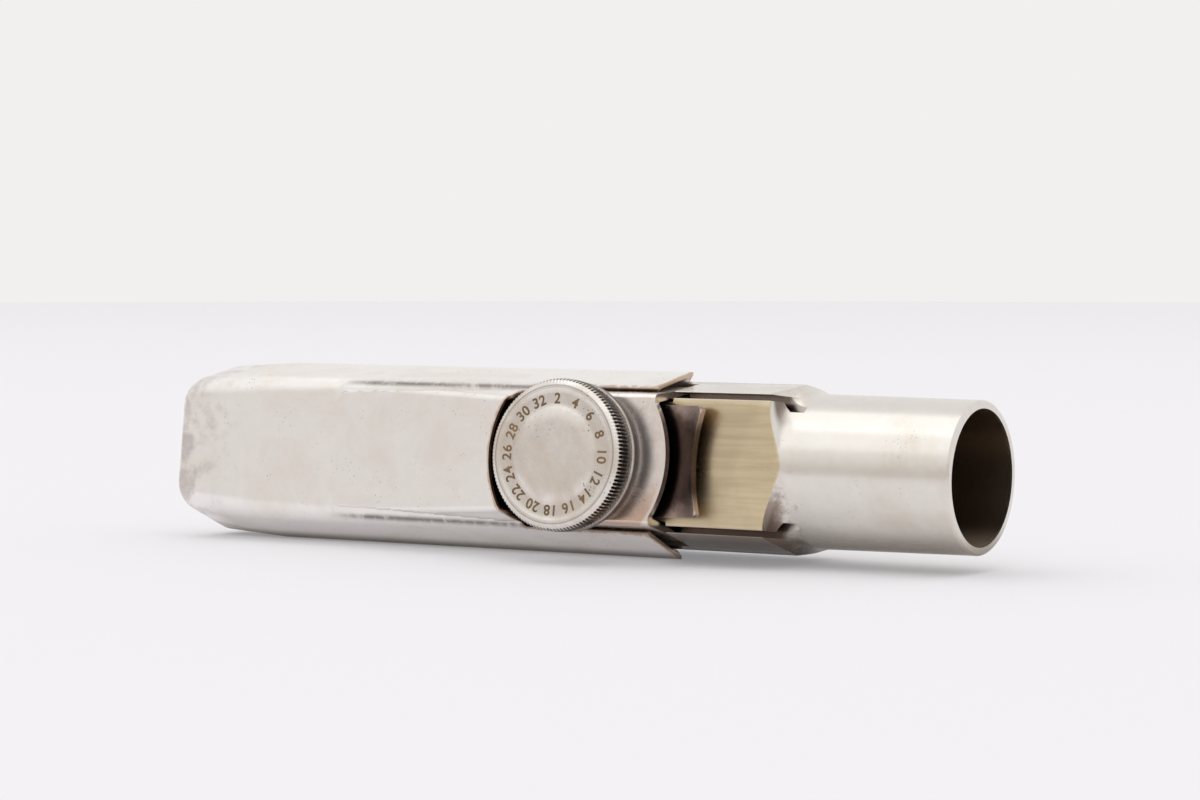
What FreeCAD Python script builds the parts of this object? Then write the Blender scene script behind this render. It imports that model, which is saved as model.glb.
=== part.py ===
import FreeCAD, Part
import math
import os

# A tenor saxophone mouthpiece of plated brass, with its one-screw ligature and its slotted cap.
# Millimetres. Every shape is drawn in three directions of the mouthpiece itself:
#   x  along the bore, 0 at the open end of the shank and positive out of it
#   s  across the reed table, 0 on the middle line
#   h  out of the reed table, 0 on the bore axis
# The finished pieces are then rolled about the bore, so that the cap lies flat on the ground.

REST_ROLL = 7.0             # degrees, also the draft of the cap's and the body's flanks

# Shank and bore
BORE_R = 8.05
BORE_LENGTH = 34.5
BORE_NECK_LENGTH = 1.9      # cone from the bore to the chamber
BORE_STEP = 1.85
CHAMBER_R = BORE_R - BORE_STEP
SHANK_WALL = 0.95
SHANK_R = BORE_R + SHANK_WALL
SHANK_TAPER = 0.2           # how much larger the shank's radius is at its root
SHANK_ROOT_R = SHANK_R + SHANK_TAPER
SHANK_LENGTH = 20.5
SHANK_RIM_ROUND = 0.25
SHOULDER_R = 2.8            # turned hollow between shank and body

# Body and reed table. Each face stands proud of the shank's root.
TABLE_PROUD = 0.3
FLANK_PROUD = 0.95
BACK_PROUD = 0.7
TABLE_H = SHANK_ROOT_R + TABLE_PROUD
BODY_HALF = SHANK_ROOT_R + FLANK_PROUD
BODY_BACK_H = -SHANK_ROOT_R - BACK_PROUD
BODY_WIDEST_H = 1.8
BODY_BACK_ROUND = 3.0
TABLE_HALF = BODY_HALF - 3.05
WALL_LIP_H = TABLE_H - 0.3
WALL_LIP_HALF = BODY_HALF - 1.7
BEAK_START_X = -58.0
TIP_X = -104.0
TIP_THICK = 3.6             # beak at its tip, before the facing is cut
TIP_BACK_H = TABLE_H - TIP_THICK
TIP_BACK_ROUND = 0.5
TIP_HALF = TABLE_HALF + 0.4
TIP_TABLE_EDGE = 0.2        # small chamfer along the table's edges at the tip
TIP_BACK_DRAFT = 0.6
TIP_SIDE_HIGH = 1.2
FACING_LENGTH = 24.0
TIP_OPENING = 2.7

# Window and baffle
WINDOW_RAIL = 1.2
WINDOW_HALF = TABLE_HALF - WINDOW_RAIL
WINDOW_BUTT_X = BEAK_START_X - 8.0
WINDOW_BUTT_ROUND = 4.0
WINDOW_TIP_ROUND = 1.5
TIP_RAIL = 1.7
BAFFLE_FLOOR = 4.9          # metal left behind the window at its butt, and at its tip
BAFFLE_TIP_FLOOR = 0.3
BAFFLE_BUTT_H = BODY_BACK_H + BAFFLE_FLOOR
BAFFLE_TIP_H = TIP_BACK_H + BAFFLE_TIP_FLOOR
BITE_PLATE_FROM_X = TIP_X + 10.0
BITE_PLATE_TO_X = TIP_X + 28.0
BITE_PLATE_HALF = 5.2
BITE_PLATE_THICK = 0.6
BITE_PLATE_END = 0.9        # round of its corners, as a share of its half width

# Screw: everything on it is sized from the stem and stacked from the table up
SCREW_X = -47.9
STEM_R = 2.45
STEM_FIT = 0.05
STEM_SOCKET = 1.5
JOURNAL_R = STEM_R - 0.95
SEAT_GAP = 0.05
WASHER_R = JOURNAL_R + 0.8
WASHER_THICK = 0.45
RIVET_HEAD = 0.1
KNOB_R = 9.12
KNOB_THICK = 3.0
KNOB_EDGE = 0.4

# Pressure plate
PLATE_GAP = 0.25            # over the bare table, where the reed would lie
PLATE_BOTTOM_H = TABLE_H + PLATE_GAP
PLATE_THICK = 1.0
PLATE_HALF = TABLE_HALF - 0.45
PLATE_TO_SHANK = 17.2       # how far the plate reaches from the screw, each way along the bore
PLATE_TO_TIP = 13.5
PLATE_FLAT_HALF = 10.5
PLATE_FLARE_R = 16.25
PLATE_END_HOLLOW = 1.3      # how far the middle of each end edge lies back
PLATE_CORNER_R = 1.2
SEAT_SPIGOT_R = WASHER_R + 0.7
SEAT_R = SEAT_SPIGOT_R + 0.8
SEAT_PROUD = 0.45
SEAT_TOP_H = PLATE_BOTTOM_H + PLATE_THICK + SEAT_PROUD

# Ligature
SHEET = 0.9
LEG_SHEET = 0.85
CROWN_GAP = 0.7             # over the seat's collar
CROWN_TOP_H = SEAT_TOP_H + CROWN_GAP + SHEET
BUSH_R = KNOB_R - 0.12
BUSH_TOP_H = CROWN_TOP_H + 0.95
BUSH_SPIGOT_R = STEM_R + 1.75
BUSH_EDGE = 0.25
CROWN_R = BUSH_R + 3.9      # round end of the crown towards the shank, about the screw
CROWN_TIP_R = BUSH_R + 0.6  # and towards the tip
CROWN_HALF = PLATE_HALF + 0.25      # inside half width under the crown
KNOB_GAP = 0.3
KNOB_BACK_H = BUSH_TOP_H + KNOB_GAP
KNOB_FRONT_H = KNOB_BACK_H + KNOB_THICK

# Rails beside the table, which the ligature's feet hook under
RAIL_THICK = 2.5
RAIL_UNDERSIDE_H = TABLE_H - RAIL_THICK
RAIL_EDGE_HALF = TABLE_HALF + 0.3
RAIL_NECK_HALF = TABLE_HALF - 0.4
FOOT_DROP = 2.35            # a foot hangs this far under its rail when no reed is clamped
FOOT_TOP_H = RAIL_UNDERSIDE_H - FOOT_DROP
FOOT_HALF = RAIL_EDGE_HALF + 1.15   # inside half width at the foot
FOOT_TOE_HALF = RAIL_NECK_HALF + 0.3
SHELF_H = FOOT_TOP_H - LEG_SHEET - 0.4
BEAK_SLOT_H = SHELF_H + 1.8
GROOVE_IN = TABLE_HALF + 0.5        # mouth of the side groove, nearest and furthest from the middle
GROOVE_OUT = GROOVE_IN + 0.75
GROOVE_END_X = -SHANK_LENGTH + 0.2
GROOVE_FLOOR_H = RAIL_UNDERSIDE_H - 1.3
UNDERCUT_HALF = TABLE_HALF - 0.6
LEG_KNEE_H = TABLE_H - 0.2
LEG_KNEE_HALF = TABLE_HALF + 0.35
LEG_TO_SHANK = 11.0         # how far the legs reach from the screw towards the shank
BEND_R = 0.6
WALL_END_X = SCREW_X + LEG_TO_SHANK + 0.5   # the side walls stop here, which is the ligature's stop
RAIL_END_X = BEAK_START_X - 6.0

# Cap: it clears the body, the ligature and the tip by these gaps
CAP_WALL = 0.45
CAP_MOUTH_X = SCREW_X + 9.5
CAP_MOUTH_RAKE = 9.5        # how much further back the mouth lies at the cap's back than at its ears
CAP_END_X = TIP_X - 6.3
CAP_NARROW_X = TIP_X + 6.0
CAP_SLOPE_X = BEAK_START_X - 2.0    # the back is parallel to the bore from the mouth to here
CAP_LIP_HALF = WALL_LIP_HALF + 0.35
CAP_LIP_H = TABLE_H + 0.7
CAP_HALF = BODY_HALF + 1.25
CAP_WIDEST_H = BODY_WIDEST_H
CAP_BACK_H = BODY_BACK_H - 1.1
CAP_BACK_ROUND = 3.6
CAP_LIP_ROUND = 1.2         # along the ears, growing to the tip's round at the narrow end
CAP_TIP_ROUND = 2.8
CAP_END_BACK_H = TIP_BACK_H - 9.9
CAP_END_NARROWING = 0.8
CAP_END_CORNER = 3.0        # the end's corners, seen on the front
CAP_END_EDGE = 1.0          # the end's front and back edges, seen from the side
CAP_END_CLEAR = 0.02        # the form that rounds the end stands off the cap's front and flanks
CAP_SLOT_HALF = LEG_KNEE_HALF + LEG_SHEET + 0.3
CAP_SLOT_R = CROWN_TIP_R + 2.05     # round end of the slot, centred on the screw
CAP_LEG_GAP = 1.35          # from the slot's round end to the corners of the legs
LEG_TO_TIP = math.sqrt((CAP_SLOT_R - CAP_LEG_GAP) ** 2 - (LEG_KNEE_HALF + LEG_SHEET) ** 2)
PANEL_ROOT_HALF = CAP_LIP_HALF - 0.4        # raised panel: half width of its foot
PANEL_HALF = PANEL_ROOT_HALF - 1.2          # and of its top at the slot
PANEL_TOP_H = CROWN_TOP_H + 0.7
PANEL_RUNOUT_X = TIP_X + 18.0       # where the raised panel meets the front of the cap
PANEL_ROUND = 0.8
END_PLATE_THICK = 0.6

PAST = 1.0                  # how far a cutter runs past the surface that it cuts


def at(x, s, h):
    """A point of the mouthpiece, from its three directions."""
    return FreeCAD.Vector(x, -h, s)


def mirrored(right):
    """A closed outline from its right half, listed from the front to the back."""
    return right + [(-s, h) for s, h in reversed(right)]


def mirrored_radii(right):
    return right + list(reversed(right))


def outline(corners, radii, place):
    """A closed wire with straight runs, and an arc at each corner that has a radius."""
    ends = []
    count = len(corners)
    for i, (u, v) in enumerate(corners):
        here = FreeCAD.Vector(u, v, 0)
        to_last = (FreeCAD.Vector(*corners[i - 1], 0) - here).normalize()
        to_next = (FreeCAD.Vector(*corners[(i + 1) % count], 0) - here).normalize()
        if radii[i] == 0:
            ends.append((here, here, None))
            continue
        half = to_last.getAngle(to_next) / 2
        inward = (to_last + to_next).normalize()
        run = radii[i] / math.tan(half)
        centre = here + inward * (radii[i] / math.sin(half))
        ends.append((here + to_last * run, here + to_next * run, centre - inward * radii[i]))
    edges = []
    for i, (start, end, middle) in enumerate(ends):
        if middle is not None:
            arc = [place(p.x, p.y) for p in (start, middle, end)]
            edges.append(Part.Arc(*arc).toShape())
        following = ends[(i + 1) % count][0]
        run = Part.LineSegment(place(end.x, end.y), place(following.x, following.y))
        edges.append(run.toShape())
    return Part.Wire(edges)


def section(corners, radii, x):
    """An outline of (s, h) corners that stands across the bore at x."""
    return outline(corners, radii, lambda s, h: at(x, s, h))


def bar(corners, x_from, x_to, radii=None):
    """(s, h) corners carried along the bore."""
    wire = section(corners, radii or [0] * len(corners), x_from)
    return Part.Face(wire).extrude(FreeCAD.Vector(x_to - x_from, 0, 0))


def slab(corners, s_from, s_to, radii=None):
    """(x, h) corners carried across the table."""
    wire = outline(corners, radii or [0] * len(corners), lambda x, h: at(x, s_from, h))
    return Part.Face(wire).extrude(FreeCAD.Vector(0, 0, s_to - s_from))


def plan(corners, h_from, h_to, radii=None):
    """(x, s) corners carried out of the table."""
    wire = outline(corners, radii or [0] * len(corners), lambda x, s: at(x, s, h_from))
    return Part.Face(wire).extrude(FreeCAD.Vector(0, h_from - h_to, 0))


def block(x_from, x_to, s_from, s_to, h_from, h_to):
    corner = FreeCAD.Vector(x_from, -h_to, s_from)
    return Part.makeBox(x_to - x_from, h_to - h_from, s_to - s_from, corner)


def post(r, h_from, h_to, x=SCREW_X):
    """A round post that stands out of the table, on the screw's axis."""
    return Part.makeCylinder(r, h_to - h_from, at(x, 0, h_from), FreeCAD.Vector(0, -1, 0))


def chamfered(disc, width, heights):
    """A disc with a chamfer round its rim at each height."""
    circles = [e for e in disc.Edges if isinstance(e.Curve, Part.Circle)]
    rims = [e for e in circles if any(abs(e.Curve.Center.y + h) < width / 2 for h in heights)]
    return disc.makeChamfer(width, rims)


def both_sides(shape):
    return shape.fuse(shape.mirror(FreeCAD.Vector(0, 0, 0), FreeCAD.Vector(0, 0, 1)))


def flank_half(widest_half, widest_h, h):
    """Half width at h of a flank that draws in from its widest line towards the back."""
    return widest_half - (widest_h - h) * math.tan(math.radians(REST_ROLL))


def turned_envelope():
    """The shank, its rim and the hollow shoulder, turned about the bore axis."""
    face_x = -SHANK_LENGTH - SHOULDER_R
    centre_r = SHANK_ROOT_R + SHOULDER_R
    far = 2 * BODY_HALF
    diagonal = SHOULDER_R * math.sqrt(0.5)

    def turned(x, r):
        return FreeCAD.Vector(x, r, 0)

    hollow = Part.Arc(
        turned(-SHANK_LENGTH, SHANK_ROOT_R),
        turned(-SHANK_LENGTH - diagonal, centre_r - diagonal),
        turned(face_x, centre_r),
    ).toShape()
    runs = [
        [(face_x, centre_r), (face_x, far), (TIP_X - PAST, far), (TIP_X - PAST, 0), (0, 0)],
        [(0, 0), (0, SHANK_R - SHANK_RIM_ROUND), (-SHANK_RIM_ROUND, SHANK_R),
         (-SHANK_LENGTH, SHANK_ROOT_R)],
    ]
    edges = [hollow]
    for run in runs:
        points = [turned(*p) for p in run]
        edges += [Part.LineSegment(a, b).toShape() for a, b in zip(points, points[1:])]
    profile = Part.Wire(Part.__sortEdges__(edges))
    return Part.Face(profile).revolve(FreeCAD.Vector(0, 0, 0), FreeCAD.Vector(1, 0, 0), 360)


def body_blank():
    """The outside of the body and beak, before grooves and bores."""
    back_half = flank_half(BODY_HALF, BODY_WIDEST_H, BODY_BACK_H)
    wide = [(TABLE_HALF, TABLE_H), (WALL_LIP_HALF, WALL_LIP_H),
            (BODY_HALF, BODY_WIDEST_H), (back_half, BODY_BACK_H)]
    radii = mirrored_radii([0, 0, 0, BODY_BACK_ROUND])
    straight = bar(mirrored(wide), PAST, BEAK_START_X, radii)
    tip = [(TIP_HALF - 2 * TIP_TABLE_EDGE, TABLE_H), (TIP_HALF - TIP_TABLE_EDGE, TABLE_H - TIP_TABLE_EDGE),
           (TIP_HALF, TIP_BACK_H + TIP_SIDE_HIGH), (TIP_HALF - TIP_BACK_DRAFT, TIP_BACK_H)]
    tip_radii = mirrored_radii([0, 0, 0, TIP_BACK_ROUND])
    beak = Part.makeLoft(
        [section(mirrored(wide), radii, BEAK_START_X), section(mirrored(tip), tip_radii, TIP_X)], True, True
    )
    return straight.common(turned_envelope()).fuse(beak)


def facing_cut():
    """What the reed's side of the beak loses: the rails fall away from the table to the tip."""
    radius = (FACING_LENGTH ** 2 + TIP_OPENING ** 2) / (2 * TIP_OPENING)
    start_x = TIP_X + FACING_LENGTH
    centre = at(start_x, 0, TABLE_H - radius)
    keep = Part.makeCylinder(radius, 4 * BODY_HALF, centre - at(0, 2 * BODY_HALF, 0), at(0, 1, 0))
    return block(TIP_X - PAST, start_x, -2 * BODY_HALF, 2 * BODY_HALF, 0, 2 * TABLE_H).cut(keep)


def rail_cuts():
    """Side grooves beside the table, and the open rails under the ligature, on one side."""
    from_x = WALL_END_X - PAST
    groove = block(from_x, GROOVE_END_X, GROOVE_IN, GROOVE_OUT, GROOVE_FLOOR_H, 2 * TABLE_H)
    undercut = block(from_x, GROOVE_END_X, UNDERCUT_HALF, GROOVE_OUT, GROOVE_FLOOR_H, RAIL_UNDERSIDE_H)
    far = 2 * BODY_HALF
    rail_side = bar(
        [(TABLE_HALF, TABLE_H), (RAIL_EDGE_HALF, RAIL_UNDERSIDE_H), (RAIL_EDGE_HALF, SHELF_H),
         (far, SHELF_H), (far, TABLE_H)],
        RAIL_END_X, WALL_END_X,
    )
    under_rail = block(RAIL_END_X, WALL_END_X, RAIL_NECK_HALF, far, SHELF_H, RAIL_UNDERSIDE_H)
    beak_slot = block(TIP_X - PAST, RAIL_END_X, RAIL_NECK_HALF, far, SHELF_H, BEAK_SLOT_H)
    beak_side = plan(
        [(RAIL_END_X, TABLE_HALF), (RAIL_END_X, far), (TIP_X - PAST, far), (TIP_X - PAST, TIP_HALF)],
        SHELF_H, 2 * TABLE_H,
    )
    return [groove, undercut, rail_side, under_rail, beak_slot, beak_side]


def airway():
    """Bore, neck cone, chamber and the hollow under the window with its sloping baffle."""
    neck_x = -BORE_LENGTH
    chamber_x = neck_x - BORE_NECK_LENGTH
    back = FreeCAD.Vector(-1, 0, 0)
    bore = Part.makeCylinder(BORE_R, BORE_LENGTH + PAST, FreeCAD.Vector(PAST, 0, 0), back)
    cone = Part.makeCone(BORE_R, CHAMBER_R, BORE_NECK_LENGTH, FreeCAD.Vector(neck_x, 0, 0), back)
    chamber_length = chamber_x - WINDOW_BUTT_X + PAST
    chamber = Part.makeCylinder(CHAMBER_R, chamber_length, FreeCAD.Vector(chamber_x, 0, 0), back)
    window_tip_x = TIP_X + TIP_RAIL
    hollow = slab(
        [(WINDOW_BUTT_X, BAFFLE_BUTT_H), (WINDOW_BUTT_X, 2 * TABLE_H),
         (window_tip_x, 2 * TABLE_H), (window_tip_x, BAFFLE_TIP_H)],
        -WINDOW_HALF, WINDOW_HALF,
    )
    window = plan(
        [(WINDOW_BUTT_X, -WINDOW_HALF), (WINDOW_BUTT_X, WINDOW_HALF),
         (window_tip_x, WINDOW_HALF), (window_tip_x, -WINDOW_HALF)],
        BODY_BACK_H, 2 * TABLE_H,
        [WINDOW_BUTT_ROUND, WINDOW_BUTT_ROUND, WINDOW_TIP_ROUND, WINDOW_TIP_ROUND],
    )
    return [bore, cone, chamber, hollow.common(window)]


def beak_back_h(x):
    """Height of the beak's back on its middle line."""
    share = (BEAK_START_X - x) / (BEAK_START_X - TIP_X)
    return BODY_BACK_H + share * (TIP_BACK_H - BODY_BACK_H)


def bite_plate():
    """A pad let into the back of the beak, where the player's teeth rest."""
    from_h = beak_back_h(BITE_PLATE_FROM_X)
    to_h = beak_back_h(BITE_PLATE_TO_X)
    wedge = slab(
        [(BITE_PLATE_FROM_X, from_h), (BITE_PLATE_TO_X, to_h),
         (BITE_PLATE_TO_X, to_h + BITE_PLATE_THICK), (BITE_PLATE_FROM_X, from_h + BITE_PLATE_THICK)],
        -BITE_PLATE_HALF, BITE_PLATE_HALF,
    )
    corners = [(BITE_PLATE_FROM_X, -BITE_PLATE_HALF), (BITE_PLATE_TO_X, -BITE_PLATE_HALF),
               (BITE_PLATE_TO_X, BITE_PLATE_HALF), (BITE_PLATE_FROM_X, BITE_PLATE_HALF)]
    radii = [BITE_PLATE_HALF * BITE_PLATE_END] * len(corners)
    return wedge.common(plan(corners, BODY_BACK_H, TABLE_H, radii))


def mouthpiece_body(pad):
    cuts = airway() + [facing_cut(), pad]
    for cut in rail_cuts():
        cuts += [cut, cut.mirror(FreeCAD.Vector(0, 0, 0), FreeCAD.Vector(0, 0, 1))]
    return body_blank().cut(cuts).removeSplitter()


def ligature_bridge():
    """Sheet bridge: a round-ended crown and two splayed legs whose feet turn in under the rails."""
    crown_h = CROWN_TOP_H - SHEET
    foot_h = FOOT_TOP_H - SHEET
    leg = [
        (0, CROWN_TOP_H), (CROWN_HALF + LEG_SHEET, CROWN_TOP_H), (LEG_KNEE_HALF + LEG_SHEET, LEG_KNEE_H),
        (FOOT_HALF + LEG_SHEET, foot_h), (FOOT_TOE_HALF, foot_h), (FOOT_TOE_HALF, FOOT_TOP_H),
        (FOOT_HALF, FOOT_TOP_H), (LEG_KNEE_HALF, LEG_KNEE_H), (CROWN_HALF, crown_h), (0, crown_h),
    ]
    radii = [0, BEND_R, 0, BEND_R, 0, 0, BEND_R / 2, 0, BEND_R / 2, 0]
    legs = both_sides(bar(leg, SCREW_X - LEG_TO_TIP, SCREW_X + LEG_TO_SHANK, radii))
    to_shank = post(CROWN_R, crown_h, CROWN_TOP_H).common(
        block(SCREW_X, SCREW_X + CROWN_R, -CROWN_HALF, CROWN_HALF, crown_h, CROWN_TOP_H)
    )
    to_tip = post(CROWN_TIP_R, crown_h, CROWN_TOP_H).common(
        block(SCREW_X - CROWN_TIP_R, SCREW_X, -CROWN_HALF, CROWN_HALF, crown_h, CROWN_TOP_H)
    )
    hole = post(BUSH_SPIGOT_R, 0, KNOB_FRONT_H)
    return legs.fuse([to_shank, to_tip]).cut(hole).removeSplitter()


def bridge_bush():
    """Threaded bush brazed into the crown, with a broad shoulder under the knob."""
    flange = chamfered(post(BUSH_R, CROWN_TOP_H, BUSH_TOP_H), BUSH_EDGE, [BUSH_TOP_H])
    spigot = post(BUSH_SPIGOT_R, CROWN_TOP_H - SHEET, CROWN_TOP_H)
    bore = post(STEM_R + STEM_FIT, 0, KNOB_FRONT_H)
    return flange.fuse(spigot).cut(bore).removeSplitter()


def plate_half(side, length):
    """The plate's length on one side of the screw: a flat run, then an arc that turns it up."""
    run = length - PLATE_FLAT_HALF
    low = PLATE_BOTTOM_H
    high = low + PLATE_THICK

    def on_arc(r, share):
        angle = share * math.asin(run / PLATE_FLARE_R)
        rise = PLATE_FLARE_R - r * math.cos(angle)
        return at(SCREW_X + side * (PLATE_FLAT_HALF + r * math.sin(angle)), -PLATE_HALF, low + rise)

    inner_r = PLATE_FLARE_R - PLATE_THICK
    root_low = at(SCREW_X, -PLATE_HALF, low)
    root_high = at(SCREW_X, -PLATE_HALF, high)
    lower = Part.Arc(on_arc(PLATE_FLARE_R, 0), on_arc(PLATE_FLARE_R, 0.5), on_arc(PLATE_FLARE_R, 1))
    upper = Part.Arc(on_arc(inner_r, 1), on_arc(inner_r, 0.5), on_arc(inner_r, 0))
    edges = [
        Part.LineSegment(root_low, on_arc(PLATE_FLARE_R, 0)).toShape(),
        lower.toShape(),
        Part.LineSegment(on_arc(PLATE_FLARE_R, 1), on_arc(inner_r, 1)).toShape(),
        upper.toShape(),
        Part.LineSegment(on_arc(inner_r, 0), root_high).toShape(),
        Part.LineSegment(root_high, root_low).toShape(),
    ]
    strip = Part.Face(Part.Wire(edges)).extrude(FreeCAD.Vector(0, 0, 2 * PLATE_HALF))
    end = SCREW_X + side * length
    footprint = plan(
        [(SCREW_X, -PLATE_HALF), (end, -PLATE_HALF), (end, PLATE_HALF), (SCREW_X, PLATE_HALF)],
        0, KNOB_FRONT_H, [0, PLATE_CORNER_R, PLATE_CORNER_R, 0],
    )
    hollow_r = (PLATE_HALF ** 2 + PLATE_END_HOLLOW ** 2) / (2 * PLATE_END_HOLLOW)
    hollow = post(hollow_r, 0, KNOB_FRONT_H, end + side * (hollow_r - PLATE_END_HOLLOW))
    return strip.common(footprint).cut(hollow)


def pressure_plate():
    """The plate that bears on the reed: flat in the middle, both ends turned up and hollowed."""
    plate = plate_half(1, PLATE_TO_SHANK).fuse(plate_half(-1, PLATE_TO_TIP))
    return plate.cut(post(SEAT_SPIGOT_R, 0, KNOB_FRONT_H)).removeSplitter()


def swivel_seat():
    """Collar riveted into the plate. The screw's journal turns in it."""
    collar = post(SEAT_R, PLATE_BOTTOM_H + PLATE_THICK, SEAT_TOP_H)
    spigot = post(SEAT_SPIGOT_R, PLATE_BOTTOM_H, PLATE_BOTTOM_H + PLATE_THICK)
    journal_hole = post(JOURNAL_R + STEM_FIT, 0, KNOB_FRONT_H)
    return collar.fuse(spigot).cut([journal_hole, washer_recess()]).removeSplitter()


def washer_top_h():
    return PLATE_BOTTOM_H + WASHER_THICK + 2 * RIVET_HEAD


def washer_recess():
    return post(WASHER_R + SEAT_GAP, 0, washer_top_h() + SEAT_GAP)


def retaining_washer():
    """Washer riveted on the end of the journal, so that the screw lifts the plate too."""
    washer = post(WASHER_R, washer_top_h() - WASHER_THICK, washer_top_h())
    return washer.cut(post(JOURNAL_R, 0, KNOB_FRONT_H))


def thumbscrew_stem():
    shoulder_h = SEAT_TOP_H + SEAT_GAP
    thread = post(STEM_R, shoulder_h, KNOB_BACK_H + STEM_SOCKET)
    journal = post(JOURNAL_R, washer_top_h() - WASHER_THICK, shoulder_h)
    return thread.fuse(journal).removeSplitter()


def thumbscrew_knob():
    """Knurled disc, with a chamfer at its front and back edges."""
    disc = post(KNOB_R, KNOB_BACK_H, KNOB_FRONT_H)
    knob = chamfered(disc, KNOB_EDGE, [KNOB_BACK_H, KNOB_FRONT_H])
    return knob.cut(post(STEM_R, 0, KNOB_BACK_H + STEM_SOCKET))


def cap_outline(x, narrowing, back_h, front_round, inset):
    """Cross-section of the cap at x, moved in by inset."""
    slant = math.atan2(CAP_HALF - CAP_LIP_HALF, CAP_LIP_H - CAP_WIDEST_H)
    draft = math.radians(REST_ROLL)
    lip = CAP_LIP_HALF - narrowing + inset * (math.tan(slant) - 1 / math.cos(slant))
    widest = CAP_HALF - narrowing - inset / math.cos(draft)
    back_half = flank_half(CAP_HALF, CAP_WIDEST_H, back_h + inset) - narrowing - inset / math.cos(draft)
    right = [(lip, CAP_LIP_H - inset), (widest, CAP_WIDEST_H), (back_half, back_h + inset)]
    radii = [front_round - inset, 0, CAP_BACK_ROUND - inset]
    return section(mirrored(right), mirrored_radii(radii), x)


def raised_panel(inset, mouth_x):
    """The pressed-up front of the cap, which clears the ligature and sinks into the front."""
    slope = (PANEL_TOP_H - CAP_LIP_H) / (SCREW_X - CAP_SLOT_R - PANEL_RUNOUT_X)
    lean = (PANEL_ROOT_HALF - PANEL_HALF) / (PANEL_TOP_H - CAP_LIP_H)
    root_h = CAP_LIP_H - 3 * CAP_WALL
    wires = []
    for x in (mouth_x, PANEL_RUNOUT_X):
        top_h = CAP_LIP_H + slope * (x - PANEL_RUNOUT_X)
        top_half = PANEL_ROOT_HALF - lean * (top_h - CAP_LIP_H)
        right = [(top_half - inset, top_h - inset), (PANEL_ROOT_HALF - inset, root_h)]
        wires.append(section(mirrored(right), mirrored_radii([PANEL_ROUND, 0]), x))
    return Part.makeLoft(wires, True, True)


def cap_volume(inset, mouth_x):
    """The cap as a solid, moved in by inset: plain length, sloping length and tapered end."""
    slope = (CAP_END_BACK_H - CAP_BACK_H) / (CAP_END_X - CAP_SLOPE_X)

    def back_h(x):
        return CAP_BACK_H + slope * (x - CAP_SLOPE_X)

    stations = [
        cap_outline(mouth_x, 0, CAP_BACK_H, CAP_LIP_ROUND, inset),
        cap_outline(CAP_SLOPE_X, 0, CAP_BACK_H, CAP_LIP_ROUND, inset),
        cap_outline(CAP_NARROW_X, 0, back_h(CAP_NARROW_X), CAP_TIP_ROUND, inset),
        cap_outline(CAP_END_X, CAP_END_NARROWING, back_h(CAP_END_X), CAP_TIP_ROUND, inset),
    ]
    lengths = [Part.makeLoft([a, b], True, True) for a, b in zip(stations, stations[1:])]
    whole = lengths[0].fuse(lengths[1:] + [raised_panel(inset, mouth_x)])
    return whole.common(cap_end_form(inset))


def cap_end_form(inset):
    """A long block whose far end is rounded as the end of the cap is, moved in by inset."""
    end_x = CAP_END_X + inset
    half = CAP_HALF - CAP_END_NARROWING - inset + CAP_END_CLEAR
    lead = CAP_NARROW_X - CAP_END_X
    far = 3 * CAP_HALF
    seen_from_front = plan(
        [(end_x, -half), (end_x + lead, -half - CAP_END_NARROWING), (end_x + lead, -far), (0, -far),
         (0, far), (end_x + lead, far), (end_x + lead, half + CAP_END_NARROWING), (end_x, half)],
        -far, far, [CAP_END_CORNER - inset, 0, 0, 0, 0, 0, 0, CAP_END_CORNER - inset],
    )
    front = CAP_LIP_H - inset + CAP_END_CLEAR
    back = CAP_END_BACK_H + inset
    seen_from_side = slab(
        [(end_x, back), (end_x + lead, back - lead), (end_x + lead, -far), (0, -far),
         (0, far), (end_x + lead, far), (end_x + lead, front), (end_x, front)],
        -far, far, [CAP_END_EDGE - inset, 0, 0, 0, 0, 0, 0, CAP_END_EDGE - inset],
    )
    return seen_from_front.common(seen_from_side)


def cap_slot():
    """The slot that lets the cap pass the ligature, with its round end about the screw."""
    low = CAP_LIP_H - 3 * CAP_WALL
    high = 2 * PANEL_TOP_H
    straight_x = SCREW_X - math.sqrt(CAP_SLOT_R ** 2 - CAP_SLOT_HALF ** 2)
    straight = block(straight_x, CAP_MOUTH_X + PAST, -CAP_SLOT_HALF, CAP_SLOT_HALF, low, high)
    round_end = block(SCREW_X - CAP_SLOT_R, SCREW_X, -CAP_SLOT_HALF, CAP_SLOT_HALF, low, high)
    return straight.fuse(round_end.common(post(CAP_SLOT_R, low, high)))


def cap_rake():
    """What the raked mouth takes off the back of the cap."""
    back_x = CAP_MOUTH_X - CAP_MOUTH_RAKE
    return slab(
        [(CAP_MOUTH_X, CAP_WIDEST_H), (CAP_MOUTH_X + PAST, CAP_WIDEST_H),
         (CAP_MOUTH_X + PAST, CAP_BACK_H - PAST), (back_x, CAP_BACK_H - PAST)],
        -2 * CAP_HALF, 2 * CAP_HALF,
    )


def cap_end():
    """The space that the end plate takes up."""
    return block(CAP_END_X, CAP_END_X + END_PLATE_THICK, -CAP_HALF, CAP_HALF, CAP_BACK_H, CAP_LIP_H)


def cap_shell():
    """Drawn sheet sleeve, open at both ends, with ears beside its slot."""
    outer = cap_volume(0, CAP_MOUTH_X)
    inner = cap_volume(CAP_WALL, CAP_MOUTH_X + PAST)
    return outer.cut([inner, cap_slot(), cap_rake(), cap_end()]).removeSplitter()


def cap_end_plate():
    """The plate soldered across the far end of the sleeve."""
    return cap_volume(0, CAP_MOUTH_X).common(cap_end()).removeSplitter()


PIECES = {}


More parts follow.
